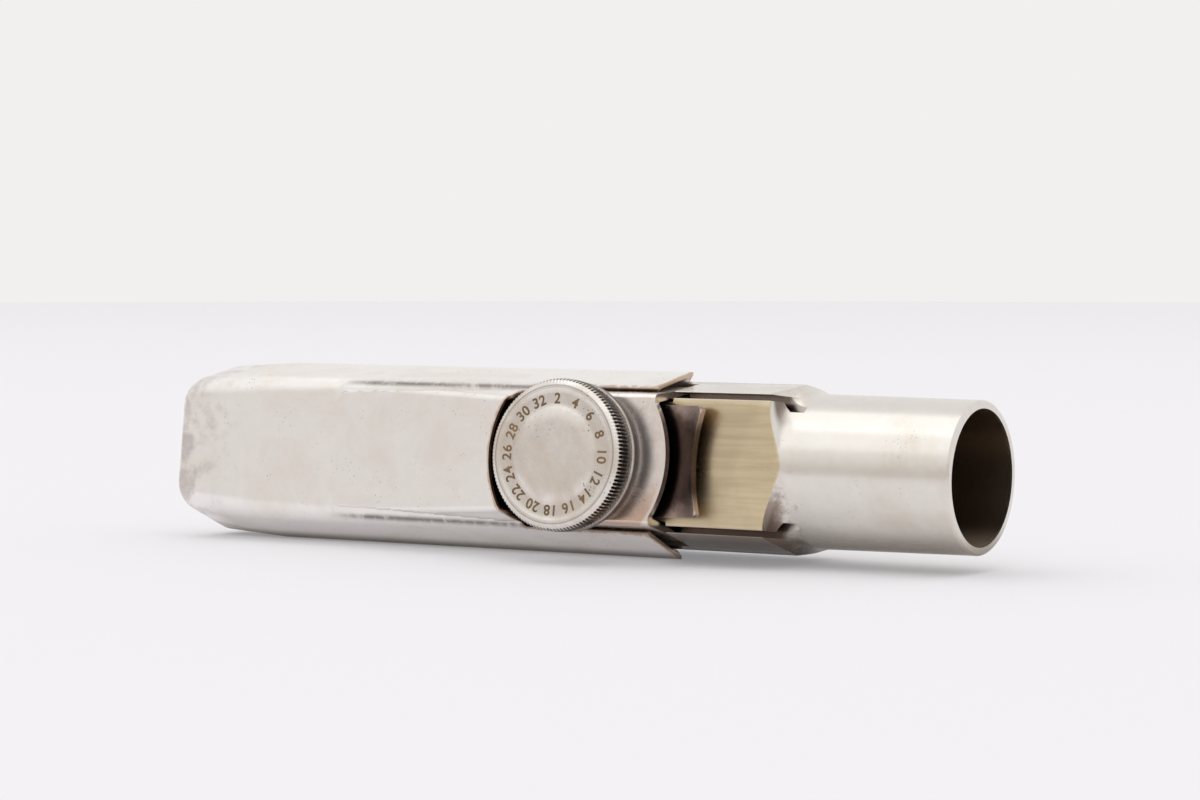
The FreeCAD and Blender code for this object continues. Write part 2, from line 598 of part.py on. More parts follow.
def build():
    pad = bite_plate()
    PIECES["mouthpiece_body"] = mouthpiece_body(pad)
    PIECES["bite_plate"] = pad
    PIECES["ligature_bridge"] = ligature_bridge()
    PIECES["bridge_bush"] = bridge_bush()
    PIECES["pressure_plate"] = pressure_plate()
    PIECES["swivel_seat"] = swivel_seat()
    PIECES["retaining_washer"] = retaining_washer()
    PIECES["thumbscrew_stem"] = thumbscrew_stem()
    PIECES["thumbscrew_knob"] = thumbscrew_knob()
    PIECES["cap_shell"] = cap_shell()
    PIECES["cap_end_plate"] = cap_end_plate()


def export():
    os.makedirs("parts", exist_ok=True)
    for name, shape in PIECES.items():
        laid = shape.copy()
        laid.rotate(FreeCAD.Vector(0, 0, 0), FreeCAD.Vector(1, 0, 0), -REST_ROLL)
        laid.exportStep("parts/" + name + ".step")
        print(name, len(laid.Solids), laid.isValid(), round(laid.Volume, 1))


build()
export()
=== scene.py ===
import math

import bmesh
import bpy
import numpy as np
from mathutils import Matrix, Vector


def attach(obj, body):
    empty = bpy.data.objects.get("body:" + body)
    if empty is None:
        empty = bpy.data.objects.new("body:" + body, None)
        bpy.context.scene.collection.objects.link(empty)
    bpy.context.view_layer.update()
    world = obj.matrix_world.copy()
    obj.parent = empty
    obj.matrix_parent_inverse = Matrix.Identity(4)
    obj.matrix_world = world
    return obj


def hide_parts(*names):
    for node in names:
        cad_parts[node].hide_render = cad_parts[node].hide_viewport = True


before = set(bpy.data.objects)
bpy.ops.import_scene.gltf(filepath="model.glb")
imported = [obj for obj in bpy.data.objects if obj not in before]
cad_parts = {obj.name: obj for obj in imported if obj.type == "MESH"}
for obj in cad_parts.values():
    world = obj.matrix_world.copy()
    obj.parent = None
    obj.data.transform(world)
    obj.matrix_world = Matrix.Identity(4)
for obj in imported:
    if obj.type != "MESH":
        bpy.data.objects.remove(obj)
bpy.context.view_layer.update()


# --- Mouthpiece body -------------------------------------------------------------------------
# Cast and machined brass with a satin silver plate. The reed table is lapped back to bare brass.
# The shank is turned, so fine rings run round it, and brown tarnish sits in the shoulder hollow.

ROLL = math.radians(7.0)
TABLE_OUT = (0.0, -math.cos(ROLL), math.sin(ROLL))
TABLE_ACROSS = (0.0, math.sin(ROLL), math.cos(ROLL))
PLATE_SILVER = (0.80, 0.765, 0.715, 1.0)
PLATE_WARM = (0.60, 0.50, 0.37, 1.0)
TARNISH_BROWN = (0.135, 0.090, 0.070, 1.0)
TABLE_BRASS = (0.74, 0.625, 0.425, 1.0)
BORE_SOOT = (0.50, 0.385, 0.275, 1.0)
SHOULDER_BROWN = (0.27, 0.19, 0.15, 1.0)
# Brown painted in for the reflection of the shaded table under the object.
REFLECTED_SHADE_BROWN = (0.16, 0.115, 0.07, 1.0)
FLANK_SHADE = (0.06, 0.045, 0.035, 1.0)
BRASS_DULL = (0.52, 0.43, 0.28, 1.0)
BRASS_PIT = (0.22, 0.17, 0.11, 1.0)
DEEP_SOOT = (0.36, 0.29, 0.235, 1.0)
TABLE_H = 9.4
TABLE_BUTT_X = -20.5
BORE_SKIN_R = 8.1
BORE_MOUTH_X = -0.15
BORE_END_X = -66.6
GROOVE_HALF = 8.3


def lay(x, s, h):
    """Bench directions in millimetres to the row frame in metres: x stays, and the other two,
    s across the table and h out of it, are rolled 7 degrees about the bore."""
    x, s, h = np.broadcast_arrays(np.asarray(x, float), s, h)
    y = s * math.sin(ROLL) - h * math.cos(ROLL)
    z = s * math.cos(ROLL) + h * math.sin(ROLL)
    return np.stack([x, y, z], axis=-1) * 0.001


def show(name, mesh, body, material, replaced=()):
    """Puts a mesh in the scene as a piece of that body, with its finish."""
    piece = bpy.data.objects.new(name, mesh)
    bpy.context.scene.collection.objects.link(piece)
    mesh.materials.clear()
    mesh.materials.append(material)
    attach(piece, body)
    if replaced:
        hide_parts(*replaced)
    return piece


def eased(node):
    """A machined solid ready for its edges to be broken: its triangles are joined and each level
    area becomes one face."""
    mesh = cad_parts[node].data.copy()
    if "custom_normal" in mesh.attributes:
        mesh.attributes.remove(mesh.attributes["custom_normal"])
    solid = bmesh.new()
    solid.from_mesh(mesh)
    bmesh.ops.remove_doubles(solid, verts=solid.verts, dist=2e-6)
    bmesh.ops.dissolve_limit(
        solid, angle_limit=math.radians(0.4), verts=solid.verts, edges=solid.edges
    )
    for face in solid.faces:
        face.smooth = True
    solid.to_mesh(mesh)
    solid.free()
    mesh.name = node + "_eased"
    return mesh


def break_edges(piece, width, segments=2):
    """Rounds edges sharper than 28 degrees over a width in millimetres. Level faces stay flat to
    the light."""
    bevel = piece.modifiers.new("broken edges", "BEVEL")
    bevel.width = width * 0.001
    bevel.segments = segments
    bevel.limit_method = "ANGLE"
    bevel.angle_limit = math.radians(28)
    bevel.harden_normals = True
    bevel.use_clamp_overlap = True


def add(tree, kind, **values):
    """A shader node with its settings, then its sockets by name."""
    node = tree.nodes.new(kind)
    for name, value in values.items():
        if hasattr(node, name):
            setattr(node, name, value)
        else:
            node.inputs[name.replace("_", " ")].default_value = value
    return node


def between(tree, value, low, high, out_low=0.0, out_high=1.0):
    """A smooth step from low to high."""
    step = add(tree, "ShaderNodeMapRange", interpolation_type="SMOOTHSTEP")
    tree.links.new(value, step.inputs["Value"])
    step.inputs["From Min"].default_value = low
    step.inputs["From Max"].default_value = high
    step.inputs["To Min"].default_value = out_low
    step.inputs["To Max"].default_value = out_high
    return step.outputs["Result"]


def figure(tree, operation, a, b=None, clamp=False):
    """Arithmetic on values or sockets."""
    node = add(tree, "ShaderNodeMath", operation=operation, use_clamp=clamp)
    for socket, item in zip(node.inputs, (a, b)):
        if item is None:
            continue
        if isinstance(item, (int, float)):
            socket.default_value = item
        else:
            tree.links.new(item, socket)
    return node.outputs["Value"]


def product(tree, *factors):
    """Masks multiplied together."""
    result = factors[0]
    for factor in factors[1:]:
        result = figure(tree, "MULTIPLY", result, factor)
    return result


def reach_of(tree, a, b):
    """Distance from an axis, from the two distances across it."""
    return figure(tree, "SQRT", figure(tree, "ADD", product(tree, a, a), product(tree, b, b)))


def blended(tree, factor, first, second):
    """One colour over another by a mask."""
    mix = add(tree, "ShaderNodeMix", data_type="RGBA", clamp_result=True)
    sockets = [mix.inputs[0], mix.inputs[6], mix.inputs[7]]
    for socket, item in zip(sockets, (factor, first, second)):
        if isinstance(item, (int, float, tuple)):
            socket.default_value = item
        else:
            tree.links.new(item, socket)
    return mix.outputs[2]


def along(tree, direction):
    """Distance in millimetres along a direction of the piece, from the row's origin."""
    place = add(tree, "ShaderNodeTexCoord")
    dot = add(tree, "ShaderNodeVectorMath", operation="DOT_PRODUCT")
    tree.links.new(place.outputs["Object"], dot.inputs[0])
    dot.inputs[1].default_value = tuple(1000.0 * d for d in direction)
    return dot.outputs["Value"]


def millimetres(tree, stretch=(1.0, 1.0, 1.0)):
    """The piece's own coordinates in millimetres, stretched."""
    place = add(tree, "ShaderNodeTexCoord")
    mapping = add(tree, "ShaderNodeMapping", vector_type="TEXTURE")
    mapping.inputs["Scale"].default_value = tuple(0.001 / v for v in stretch)
    tree.links.new(place.outputs["Object"], mapping.inputs["Vector"])
    return mapping.outputs["Vector"]


def broken_up(tree, scale, detail=5.0, roughness=0.65, stretch=(1.0, 1.0, 1.0)):
    """Noise whose scale is in waves a millimetre."""
    noise = add(tree, "ShaderNodeTexNoise", Scale=scale, Detail=detail, Roughness=roughness)
    tree.links.new(millimetres(tree, stretch), noise.inputs["Vector"])
    return noise.outputs["Fac"]


def make_group(name, inputs, outputs):
    """An empty shader node group with named sockets."""
    group = bpy.data.node_groups.new(name, "ShaderNodeTree")
    for label, kind, value in inputs:
        socket = group.interface.new_socket(label, in_out="INPUT", socket_type=kind)
        socket.default_value = value
    for label, kind in outputs:
        group.interface.new_socket(label, in_out="OUTPUT", socket_type=kind)
    return group, group.nodes.new("NodeGroupInput"), group.nodes.new("NodeGroupOutput")


def plate_patina():
    """Old silver plate: wide cloudy warm tarnish, a finer mottle, and small dark spots in drifts.
    Cloud = smooth step of noise over 12 mm, mottle = noise over 2 mm, spots = near a cell's
    centre where a slower noise is high."""
    group, inside, out = make_group(
        "plate patina",
        [
            ("Silver", "NodeSocketColor", PLATE_SILVER),
            ("Warm", "NodeSocketColor", PLATE_WARM),
            ("Dark", "NodeSocketColor", TARNISH_BROWN),
            ("Warmth", "NodeSocketFloat", 0.5),
            ("Mottle", "NodeSocketFloat", 0.12),
            ("Spots", "NodeSocketFloat", 0.5),
            ("Spot size", "NodeSocketFloat", 1.0),
        ],
        [("Color", "NodeSocketColor"), ("Stain", "NodeSocketFloat")],
    )
    place = millimetres(group)
    cloud = add(group, "ShaderNodeTexNoise", Scale=0.075, Detail=5.0, Roughness=0.62, Distortion=0.6)
    fine = add(group, "ShaderNodeTexNoise", Scale=0.55, Detail=6.0, Roughness=0.7)
    drift = add(group, "ShaderNodeTexNoise", Scale=0.21, Detail=3.0)
    cells = add(group, "ShaderNodeTexVoronoi", Randomness=1.0)
    group.links.new(figure(group, "DIVIDE", 1.3, inside.outputs["Spot size"]), cells.inputs["Scale"])
    for texture in (cloud, fine, drift, cells):
        group.links.new(place, texture.inputs["Vector"])
    clouded = product(group, between(group, cloud.outputs["Fac"], 0.44, 0.66), inside.outputs["Warmth"])
    near = between(group, cells.outputs["Distance"], 0.26, 0.06)
    drifted = between(group, drift.outputs["Fac"], 0.47, 0.66)
    ragged = between(group, fine.outputs["Fac"], 0.36, 0.56)
    spot = product(group, near, drifted, ragged, inside.outputs["Spots"])
    warm = blended(group, clouded, inside.outputs["Silver"], inside.outputs["Warm"])
    grey = product(group, between(group, fine.outputs["Fac"], 0.3, 0.7), inside.outputs["Mottle"])
    shaded = blended(group, grey, warm, inside.outputs["Dark"])
    final = blended(group, spot, shaded, inside.outputs["Dark"])
    group.links.new(final, out.inputs["Color"])
    group.links.new(figure(group, "ADD", clouded, spot, clamp=True), out.inputs["Stain"])
    return group


def draw_lines():
    """Fine scratches: a coarse and a fine noise, mixed by the softness. The stretch of the
    coordinates that come in makes them lie along one direction."""
    group, inside, out = make_group(
        "drawn lines",
        [("Vector", "NodeSocketVector", (0.0, 0.0, 0.0)), ("Softness", "NodeSocketFloat", 0.5)],
        [("Height", "NodeSocketFloat")],
    )
    coarse = add(group, "ShaderNodeTexNoise", Scale=1.0, Detail=3.0, Roughness=0.6)
    fine = add(group, "ShaderNodeTexNoise", Scale=3.7, Detail=4.0, Roughness=0.7)
    group.links.new(inside.outputs["Vector"], coarse.inputs["Vector"])
    group.links.new(inside.outputs["Vector"], fine.inputs["Vector"])
    mix = add(group, "ShaderNodeMix", data_type="FLOAT")
    group.links.new(inside.outputs["Softness"], mix.inputs[0])
    group.links.new(fine.outputs["Fac"], mix.inputs[2])
    group.links.new(coarse.outputs["Fac"], mix.inputs[3])
    group.links.new(mix.outputs[0], out.inputs["Height"])
    return group


PATINA = plate_patina()
LINES = draw_lines()


def finish_of(name, roughness=0.3, metallic=1.0):
    """A new material with its own Principled shader, and the shader's tree."""
    material = bpy.data.materials.new(name)
    material.use_nodes = True
    tree = material.node_tree
    shader = tree.nodes["Principled BSDF"]
    shader.inputs["Metallic"].default_value = metallic
    shader.inputs["Roughness"].default_value = roughness
    return material, tree, shader


def use_patina(tree, silver, warm, dark, warmth, mottle, spots, spot_size=1.0):
    """Old plate on this piece, with its own colours and amounts."""
    node = add(tree, "ShaderNodeGroup", node_tree=PATINA)
    for label, value in (("Silver", silver), ("Warm", warm), ("Dark", dark), ("Warmth", warmth),
                         ("Mottle", mottle), ("Spots", spots), ("Spot size", spot_size)):
        node.inputs[label].default_value = value
    return node


def use_lines(tree, shader, vector, strength, depth, softness=0.5):
    """Scratches on this piece, as relief."""
    lines = add(tree, "ShaderNodeGroup", node_tree=LINES)
    lines.inputs["Softness"].default_value = softness
    tree.links.new(vector, lines.inputs["Vector"])
    bump = add(tree, "ShaderNodeBump", Strength=strength, Distance=depth)
    tree.links.new(lines.outputs["Height"], bump.inputs["Height"])
    tree.links.new(bump.outputs["Normal"], shader.inputs["Normal"])
    return lines


def rough_by(tree, shader, value, low, high):
    """Roughness between two values by a mask."""
    tree.links.new(between(tree, value, 0.0, 1.0, low, high), shader.inputs["Roughness"])


def floor_shade_reflection(tree, shader, colour, high, low, amount):
    """Painted reflection of the shaded table on the side that lies on the ground: brown laid on by a step
    down in height, in millimetres. Where it is painted the plate shines less like metal."""
    reflected_shade = between(tree, along(tree, (0, 0, 1)), high, low, 0.0, amount)
    tree.links.new(between(tree, reflected_shade, 0.0, 1.0, 1.0, 0.35), shader.inputs["Metallic"])
    return blended(tree, reflected_shade, colour, REFLECTED_SHADE_BROWN)


def mouthpiece_finish():
    """Plate everywhere, brass where h is over the table's height less a hair, soot where the
    distance from the bore axis is under the bore's radius, brown in the shoulder and grooves."""
    material, tree, shader = finish_of("mouthpiece plate", 0.24)
    patina = use_patina(tree, PLATE_SILVER, PLATE_WARM, TARNISH_BROWN, 0.35, 0.05, 0.35, 0.7)
    x = along(tree, (1, 0, 0))
    h = along(tree, TABLE_OUT)
    s = along(tree, TABLE_ACROSS)
    radius = reach_of(tree, s, h)
    broken = figure(tree, "SUBTRACT", broken_up(tree, 0.5), 0.5)
    wavy_x = figure(tree, "ADD", x, product(tree, broken, 9.0))
    wavy_s = figure(tree, "ADD", s, product(tree, broken, 6.0))
    past_shank = between(tree, wavy_x, -20.0, -22.6)
    body_fade = between(tree, wavy_x, -44.0, -24.0, 0.35, 1.0)
    front = between(tree, h, 2.0, 6.5, 0.25, 1.0)
    low_side = between(tree, wavy_s, 0.5, -5.5, 0.04, 1.0)
    shoulder = product(tree, past_shank, body_fade, front, low_side)
    colour = blended(tree, product(tree, shoulder, 0.8), patina.outputs["Color"], SHOULDER_BROWN)
    # Painted reflection: the lower side is browned for the shaded table that it reflects.
    colour = floor_shade_reflection(tree, shader, colour, -5.2, -9.4, 0.85)
    # Painted shade: the lowest part of the body past the shank is darkened for the shade near the table.
    flank_shade = product(tree, between(tree, along(tree, (0, 0, 1)), -6.6, -8.6), past_shank, 0.7)
    colour = blended(tree, flank_shade, colour, FLANK_SHADE)
    on_table = between(tree, h, TABLE_H - 0.04, TABLE_H + 0.04)
    table = product(tree, on_table, between(tree, x, TABLE_BUTT_X, TABLE_BUTT_X - 0.4))
    grain = broken_up(tree, 1.0, 4.0, 0.5, (0.12, 1.6, 1.6))
    brass = blended(tree, between(tree, grain, 0.3, 0.7, 0.0, 0.45), TABLE_BRASS, BRASS_DULL)
    brass = blended(tree, product(tree, patina.outputs["Stain"], 0.35), brass, BRASS_PIT)
    colour = blended(tree, table, colour, brass)
    within = between(tree, radius, BORE_SKIN_R + 0.04, BORE_SKIN_R)
    past_mouth = between(tree, x, BORE_MOUTH_X, BORE_MOUTH_X - 0.45)
    inside = product(tree, within, past_mouth, between(tree, x, BORE_END_X, BORE_END_X + 0.4))
    soot = blended(tree, between(tree, x, -30.0, -1.0, 0.0, 0.55), BORE_SOOT, DEEP_SOOT)
    colour = blended(tree, inside, colour, soot)
    groove = product(
        tree, between(tree, h, 9.0, 8.2), between(tree, s, 9.2, 8.4), between(tree, x, -21.5, -23.0),
        between(tree, h, 3.0, 5.0),
        between(tree, figure(tree, "ABSOLUTE", s), GROOVE_HALF + 0.12, GROOVE_HALF), 0.85)
    colour = blended(tree, groove, colour, TARNISH_BROWN)
    tree.links.new(colour, shader.inputs["Base Color"])
    rough = figure(tree, "ADD", product(tree, shoulder, 0.3), product(tree, table, 0.12))
    rough = figure(tree, "ADD", rough, product(tree, inside, 0.2))
    rough_by(tree, shader, rough, 0.235, 0.85)
    use_lines(tree, shader, millimetres(tree, (9.0, 0.05, 0.05)), 0.22, 0.00002)
    return material


body = show("mouthpiece", eased("mouthpiece_body"), "mouthpiece", mouthpiece_finish(),
            ("mouthpiece_body",))
break_edges(body, 0.12)


# --- Bite plate ------------------------------------------------------------------------------
# A hard rubber pad let into the back of the beak, where the player's teeth rest.
# It is moulded and then faced flush, so it is dull, with fine random scratches.

def rubber_finish():
    """Near-black rubber, rougher where a fine noise is high."""
    material, tree, shader = finish_of("bite rubber", 0.5, 0.0)
    noise = broken_up(tree, 1.4, 6.0, 0.7)
    worn = between(tree, noise, 0.35, 0.7)
    colour = blended(tree, worn, (0.02, 0.02, 0.021, 1.0), (0.06, 0.055, 0.05, 1.0))
    tree.links.new(colour, shader.inputs["Base Color"])
    rough_by(tree, shader, noise, 0.32, 0.7)
    use_lines(tree, shader, millimetres(tree, (0.4, 2.0, 2.0)), 0.25, 0.00002)
    return material


def refinish(node, material):
    """A CAD piece keeps its shape and gets this finish."""
    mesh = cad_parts[node].data
    mesh.materials.clear()
    mesh.materials.append(material)


refinish("bite_plate", rubber_finish())


# --- Pressure plate --------------------------------------------------------------------------
# Bent sheet that bears on the reed, with both ends turned up and hollowed. Its colour is painted dark for the
# shade under the crown and the dark it reflects, with painted rose-grey highlights at the corners and along
# its raised thin edges.

SCREW_X = -47.9
PAD_SHADE_DARK = (0.085, 0.058, 0.050, 1.0)
PAD_ROSE_HIGHLIGHT = (0.62, 0.50, 0.46, 1.0)


def pressure_plate_finish():
    """Painted shade: a dark colour for the plate under the crown. Painted highlights: rose where |s| plus a
    share of the reach from the screw is large, and pale on the raised lip.
    """
    material, tree, shader = finish_of("pressure plate", 0.3)
    patina = use_patina(tree, PAD_SHADE_DARK, (0.16, 0.10, 0.075, 1.0), (0.02, 0.015, 0.013, 1.0), 0.6, 0.3, 0.4)
    x = along(tree, (1, 0, 0))
    s = figure(tree, "ABSOLUTE", along(tree, TABLE_ACROSS))
    h = along(tree, TABLE_OUT)
    reach = figure(tree, "ABSOLUTE", figure(tree, "SUBTRACT", x, SCREW_X))
    broken = product(tree, figure(tree, "SUBTRACT", broken_up(tree, 0.6), 0.5), 3.0)
    # Painted highlight at the corners, where the turned-up ends catch the light.
    corner = figure(tree, "ADD", product(tree, s, 1.15), product(tree, reach, 0.55))
    corner = between(tree, figure(tree, "ADD", corner, broken), 12.6, 16.2)
    colour = blended(tree, product(tree, corner, 0.9), patina.outputs["Color"], PAD_ROSE_HIGHLIGHT)
    # Painted highlight along the raised lip.
    lip = between(tree, h, 11.75, 12.5, 0.0, 0.75)
    colour = blended(tree, lip, colour, (0.74, 0.66, 0.60, 1.0))
    tree.links.new(colour, shader.inputs["Base Color"])
    rough_by(tree, shader, patina.outputs["Stain"], 0.24, 0.42)
    use_lines(tree, shader, millimetres(tree, (0.3, 1.5, 1.5)), 0.2, 0.00002)
    return material


plate = show("pressure_pad", eased("pressure_plate"), "plate", pressure_plate_finish(),
             ("pressure_plate",))
break_edges(plate, 0.16, 3)


# --- Swivel seat and retaining washer --------------------------------------------------------
# Two small turned pieces that hold the screw's end to the plate and let it swivel.
# They are coloured dark, like the pressure plate.

def small_part_finish():
    """A dark colour with a warm cloud, as on the pressure plate, but without its painted corner highlights.
    """
    material, tree, shader = finish_of("swivel seat plate", 0.38)
    patina = use_patina(tree, (0.17, 0.135, 0.12, 1.0), (0.22, 0.15, 0.10, 1.0), (0.03, 0.022, 0.02, 1.0),
                        0.7, 0.35, 0.4)
    tree.links.new(patina.outputs["Color"], shader.inputs["Base Color"])
    rough_by(tree, shader, patina.outputs["Stain"], 0.32, 0.5)
    use_lines(tree, shader, millimetres(tree, (1.2, 1.2, 1.2)), 0.15, 0.00002)
    return material


SEAT_FINISH = small_part_finish()
refinish("swivel_seat", SEAT_FINISH)
refinish("retaining_washer", SEAT_FINISH)


# --- Thumbscrew stem -------------------------------------------------------------------------
# A turned brass screw with a rolled thread of 0.8 mm pitch. Its plain journal turns in the seat.
# Its brass is darkened by an old film in drifts.

STEM_R = 2.45
THREAD_DEPTH = 0.36
THREAD_PITCH = 0.8
JOURNAL_R = 1.5
STEM_TOP_H = 15.5
STEM_SHOULDER_H = 11.25
STEM_END_H = 9.95


def surface(name, points, around=False, masks=None):
    """A mesh from a grid of points. Rows join along the grid, and the last column joins the
    first if it goes around. Points that meet are merged, so poles and seams close."""
    rows, columns = points.shape[:2]
    index = np.arange(rows * columns).reshape(rows, columns)
    if around:
        index = np.concatenate([index, index[:, :1]], axis=1)
    quads = np.stack([index[:-1, :-1], index[1:, :-1], index[1:, 1:], index[:-1, 1:]], axis=-1)
    mesh = bpy.data.meshes.new(name)
    mesh.from_pydata(points.reshape(-1, 3).tolist(), [], quads.reshape(-1, 4).tolist())
    for label, values in (masks or {}).items():
        mask = mesh.attributes.new(label, "FLOAT", "POINT")
        mask.data.foreach_set("value", np.asarray(values, np.float32).ravel())
    shell = bmesh.new()
    shell.from_mesh(mesh)
    bmesh.ops.remove_doubles(shell, verts=shell.verts, dist=1e-7)
    bmesh.ops.dissolve_degenerate(shell, edges=shell.edges, dist=1e-8)
    for face in shell.faces:
        face.smooth = True
    shell.to_mesh(mesh)
    shell.free()
    return mesh


def turned_outward(mesh):
    """A closed mesh with every face pointing outwards."""
    shell = bmesh.new()
    shell.from_mesh(mesh)
    bmesh.ops.recalc_face_normals(shell, faces=shell.faces)
    shell.to_mesh(mesh)
    shell.free()
    return mesh


def about_screw(r, angle, h):
    """Turned about the screw's axis: a radius, an angle and a height out of the table."""
    return lay(SCREW_X + r * np.cos(angle), r * np.sin(angle), h)


def stem_shape():
    """Rows go up the stem and columns around it. Radius = stem radius less a rounded tooth of
    the phase (height over pitch plus turn), faded out near the shoulder, then plain below it."""
    angle = np.linspace(0, 2 * np.pi, 72, endpoint=False)[None, :]
    up = np.linspace(STEM_SHOULDER_H, STEM_TOP_H, 110)[:, None]
    phase = (up / THREAD_PITCH - angle / (2 * np.pi)) * 2 * np.pi
    fade = np.clip((up - STEM_SHOULDER_H) / 0.3, 0, 1)
    tooth = THREAD_DEPTH * (0.5 - 0.5 * np.cos(phase)) ** 1.4
    thread = STEM_R - fade * tooth
    low_h = np.array([STEM_END_H, STEM_END_H, STEM_END_H + 0.1, STEM_SHOULDER_H, STEM_SHOULDER_H])[:, None]
    low_r = np.array([0.0, JOURNAL_R - 0.1, JOURNAL_R, JOURNAL_R, STEM_R - 0.1])[:, None]
    ones = np.ones_like(angle)
    h = np.concatenate([low_h * ones, up * ones, [[STEM_TOP_H] * angle.size]])
    r = np.concatenate([low_r * ones, thread, [[0.0] * angle.size]])
    return turned_outward(surface("thumbscrew stem", about_screw(r, angle * np.ones_like(h), h), around=True))


def stem_finish():
    """Brass, darkened by an old film in drifts."""
    material, tree, shader = finish_of("screw brass", 0.3)
    patina = use_patina(tree, (0.62, 0.47, 0.24, 1.0), (0.40, 0.27, 0.13, 1.0), (0.05, 0.035, 0.02, 1.0),
                        0.8, 0.35, 0.4)
    tree.links.new(patina.outputs["Color"], shader.inputs["Base Color"])
    rough_by(tree, shader, patina.outputs["Stain"], 0.24, 0.5)
    return material


show("thread", stem_shape(), "screw", stem_finish(), ("thumbscrew_stem",))


# --- Ligature bridge -------------------------------------------------------------------------
# Bent sheet: a crown with round ends, and two splayed legs whose feet hook under the rails.
# The plate is rubbed through to rose copper at the edges and is spotted dark on top.

def bridge_finish():
    """Grey plate with dark spots. Copper near the crown's far corner and along the bends."""
    material, tree, shader = finish_of("ligature plate", 0.3)
    patina = use_patina(tree, (0.95, 0.88, 0.84, 1.0), (0.86, 0.71, 0.62, 1.0), (0.26, 0.235, 0.235, 1.0),
                        0.8, 0.16, 0.9, 0.9)
    x = figure(tree, "SUBTRACT", along(tree, (1, 0, 0)), SCREW_X)
    s = along(tree, TABLE_ACROSS)
    h = along(tree, TABLE_OUT)
    broken = product(tree, figure(tree, "SUBTRACT", broken_up(tree, 0.45), 0.5), 5.0)
    low_side = between(tree, figure(tree, "ADD", s, broken), -2.0, -6.5)
    crown = between(tree, h, 12.2, 12.6)
    copper = product(tree, low_side, crown, 0.6)
    colour = blended(tree, copper, patina.outputs["Color"], (0.55, 0.30, 0.17, 1.0))
    # Painted shade: the legs are darkened as they go down under the crown towards the table.
    leg_shade = between(tree, h, 11.0, 6.0, 0.0, 0.45)
    colour = blended(tree, leg_shade, colour, (0.16, 0.12, 0.10, 1.0))
    rim = product(tree, between(tree, reach_of(tree, x, s), 12.35, 12.75), crown, 0.8)
    colour = blended(tree, rim, colour, (0.86, 0.80, 0.74, 1.0))
    tree.links.new(colour, shader.inputs["Base Color"])
    rough_by(tree, shader, patina.outputs["Stain"], 0.24, 0.48)
    use_lines(tree, shader, millimetres(tree, (0.5, 1.2, 1.2)), 0.2, 0.00003)
    return material


bridge = show("bridge", eased("ligature_bridge"), "ligature", bridge_finish(),
              ("ligature_bridge",))
break_edges(bridge, 0.14, 3)


# --- Bridge bush -----------------------------------------------------------------------------
# A turned bush brazed into the crown. The screw runs in its thread. Its broad shoulder shows under the knob:
# its side is painted near-black for the shade there, and its rounded edge makes a bright rim.

BUSH_PROFILE = (
    (2.50, 11.90), (2.50, 13.65), (2.60, 13.75), (8.70, 13.75), (8.88, 13.70), (8.97, 13.58), (9.00, 13.45),
    (9.00, 12.86), (8.94, 12.80), (4.20, 12.80), (4.20, 11.98), (4.12, 11.90), (2.50, 11.90),
)


def turned_ring(name, profile, columns=192):
    """A closed profile of radii and heights carried round the screw's axis."""
    profile = np.array(profile)
    angle = np.linspace(0, 2 * np.pi, columns, endpoint=False)[None, :]
    r = profile[:, :1] * np.ones_like(angle)
    h = profile[:, 1:] * np.ones_like(angle)
    return turned_outward(surface(name, about_screw(r, angle * np.ones_like(r), h), around=True))


def sharp_over(mesh, degrees):
    """Smooth faces with crisp edges where they turn by more than this."""
    mesh.set_sharp_from_angle(angle=math.radians(degrees))
    return mesh


def bush_finish():
    """Worn plate. The side of the shoulder is painted near-black for the shade under the knob."""
    material, tree, shader = finish_of("bush plate", 0.26)
    patina = use_patina(tree, (0.60, 0.56, 0.52, 1.0), (0.40, 0.30, 0.23, 1.0), (0.05, 0.04, 0.035, 1.0),
                        0.7, 0.25, 0.8)
    h = along(tree, TABLE_OUT)
    # Painted shade on the side of the shoulder, under the knob.
    shoulder_shade = product(tree, between(tree, h, 13.5, 13.3), between(tree, h, 12.7, 12.82), 0.9)
    colour = blended(tree, shoulder_shade, patina.outputs["Color"], (0.045, 0.04, 0.04, 1.0))
    tree.links.new(colour, shader.inputs["Base Color"])
    rough_by(tree, shader, patina.outputs["Stain"], 0.2, 0.42)
    return material


bush_mesh = sharp_over(turned_ring("bush", BUSH_PROFILE), 30)
show("bush", bush_mesh, "ligature", bush_finish(), ("bridge_bush",))


# --- Thumbscrew knob -------------------------------------------------------------------------
# A thick knurled disc with a bevelled face. A shallow ring is turned into the face, with plain even numbers
# stamped in it. The knurl is painted black for the shade and dark reflection on it, and its crests keep the
# plate's colour.

KNOB_R = 9.12
KNOB_FRONT_H = 17.05
KNURL_TEETH = 120
KNURL_DEPTH = 0.34
RING_IN = 5.75
RING_OUT = 7.65
RING_STEP = 0.07
RIM_LINE_R = 8.25


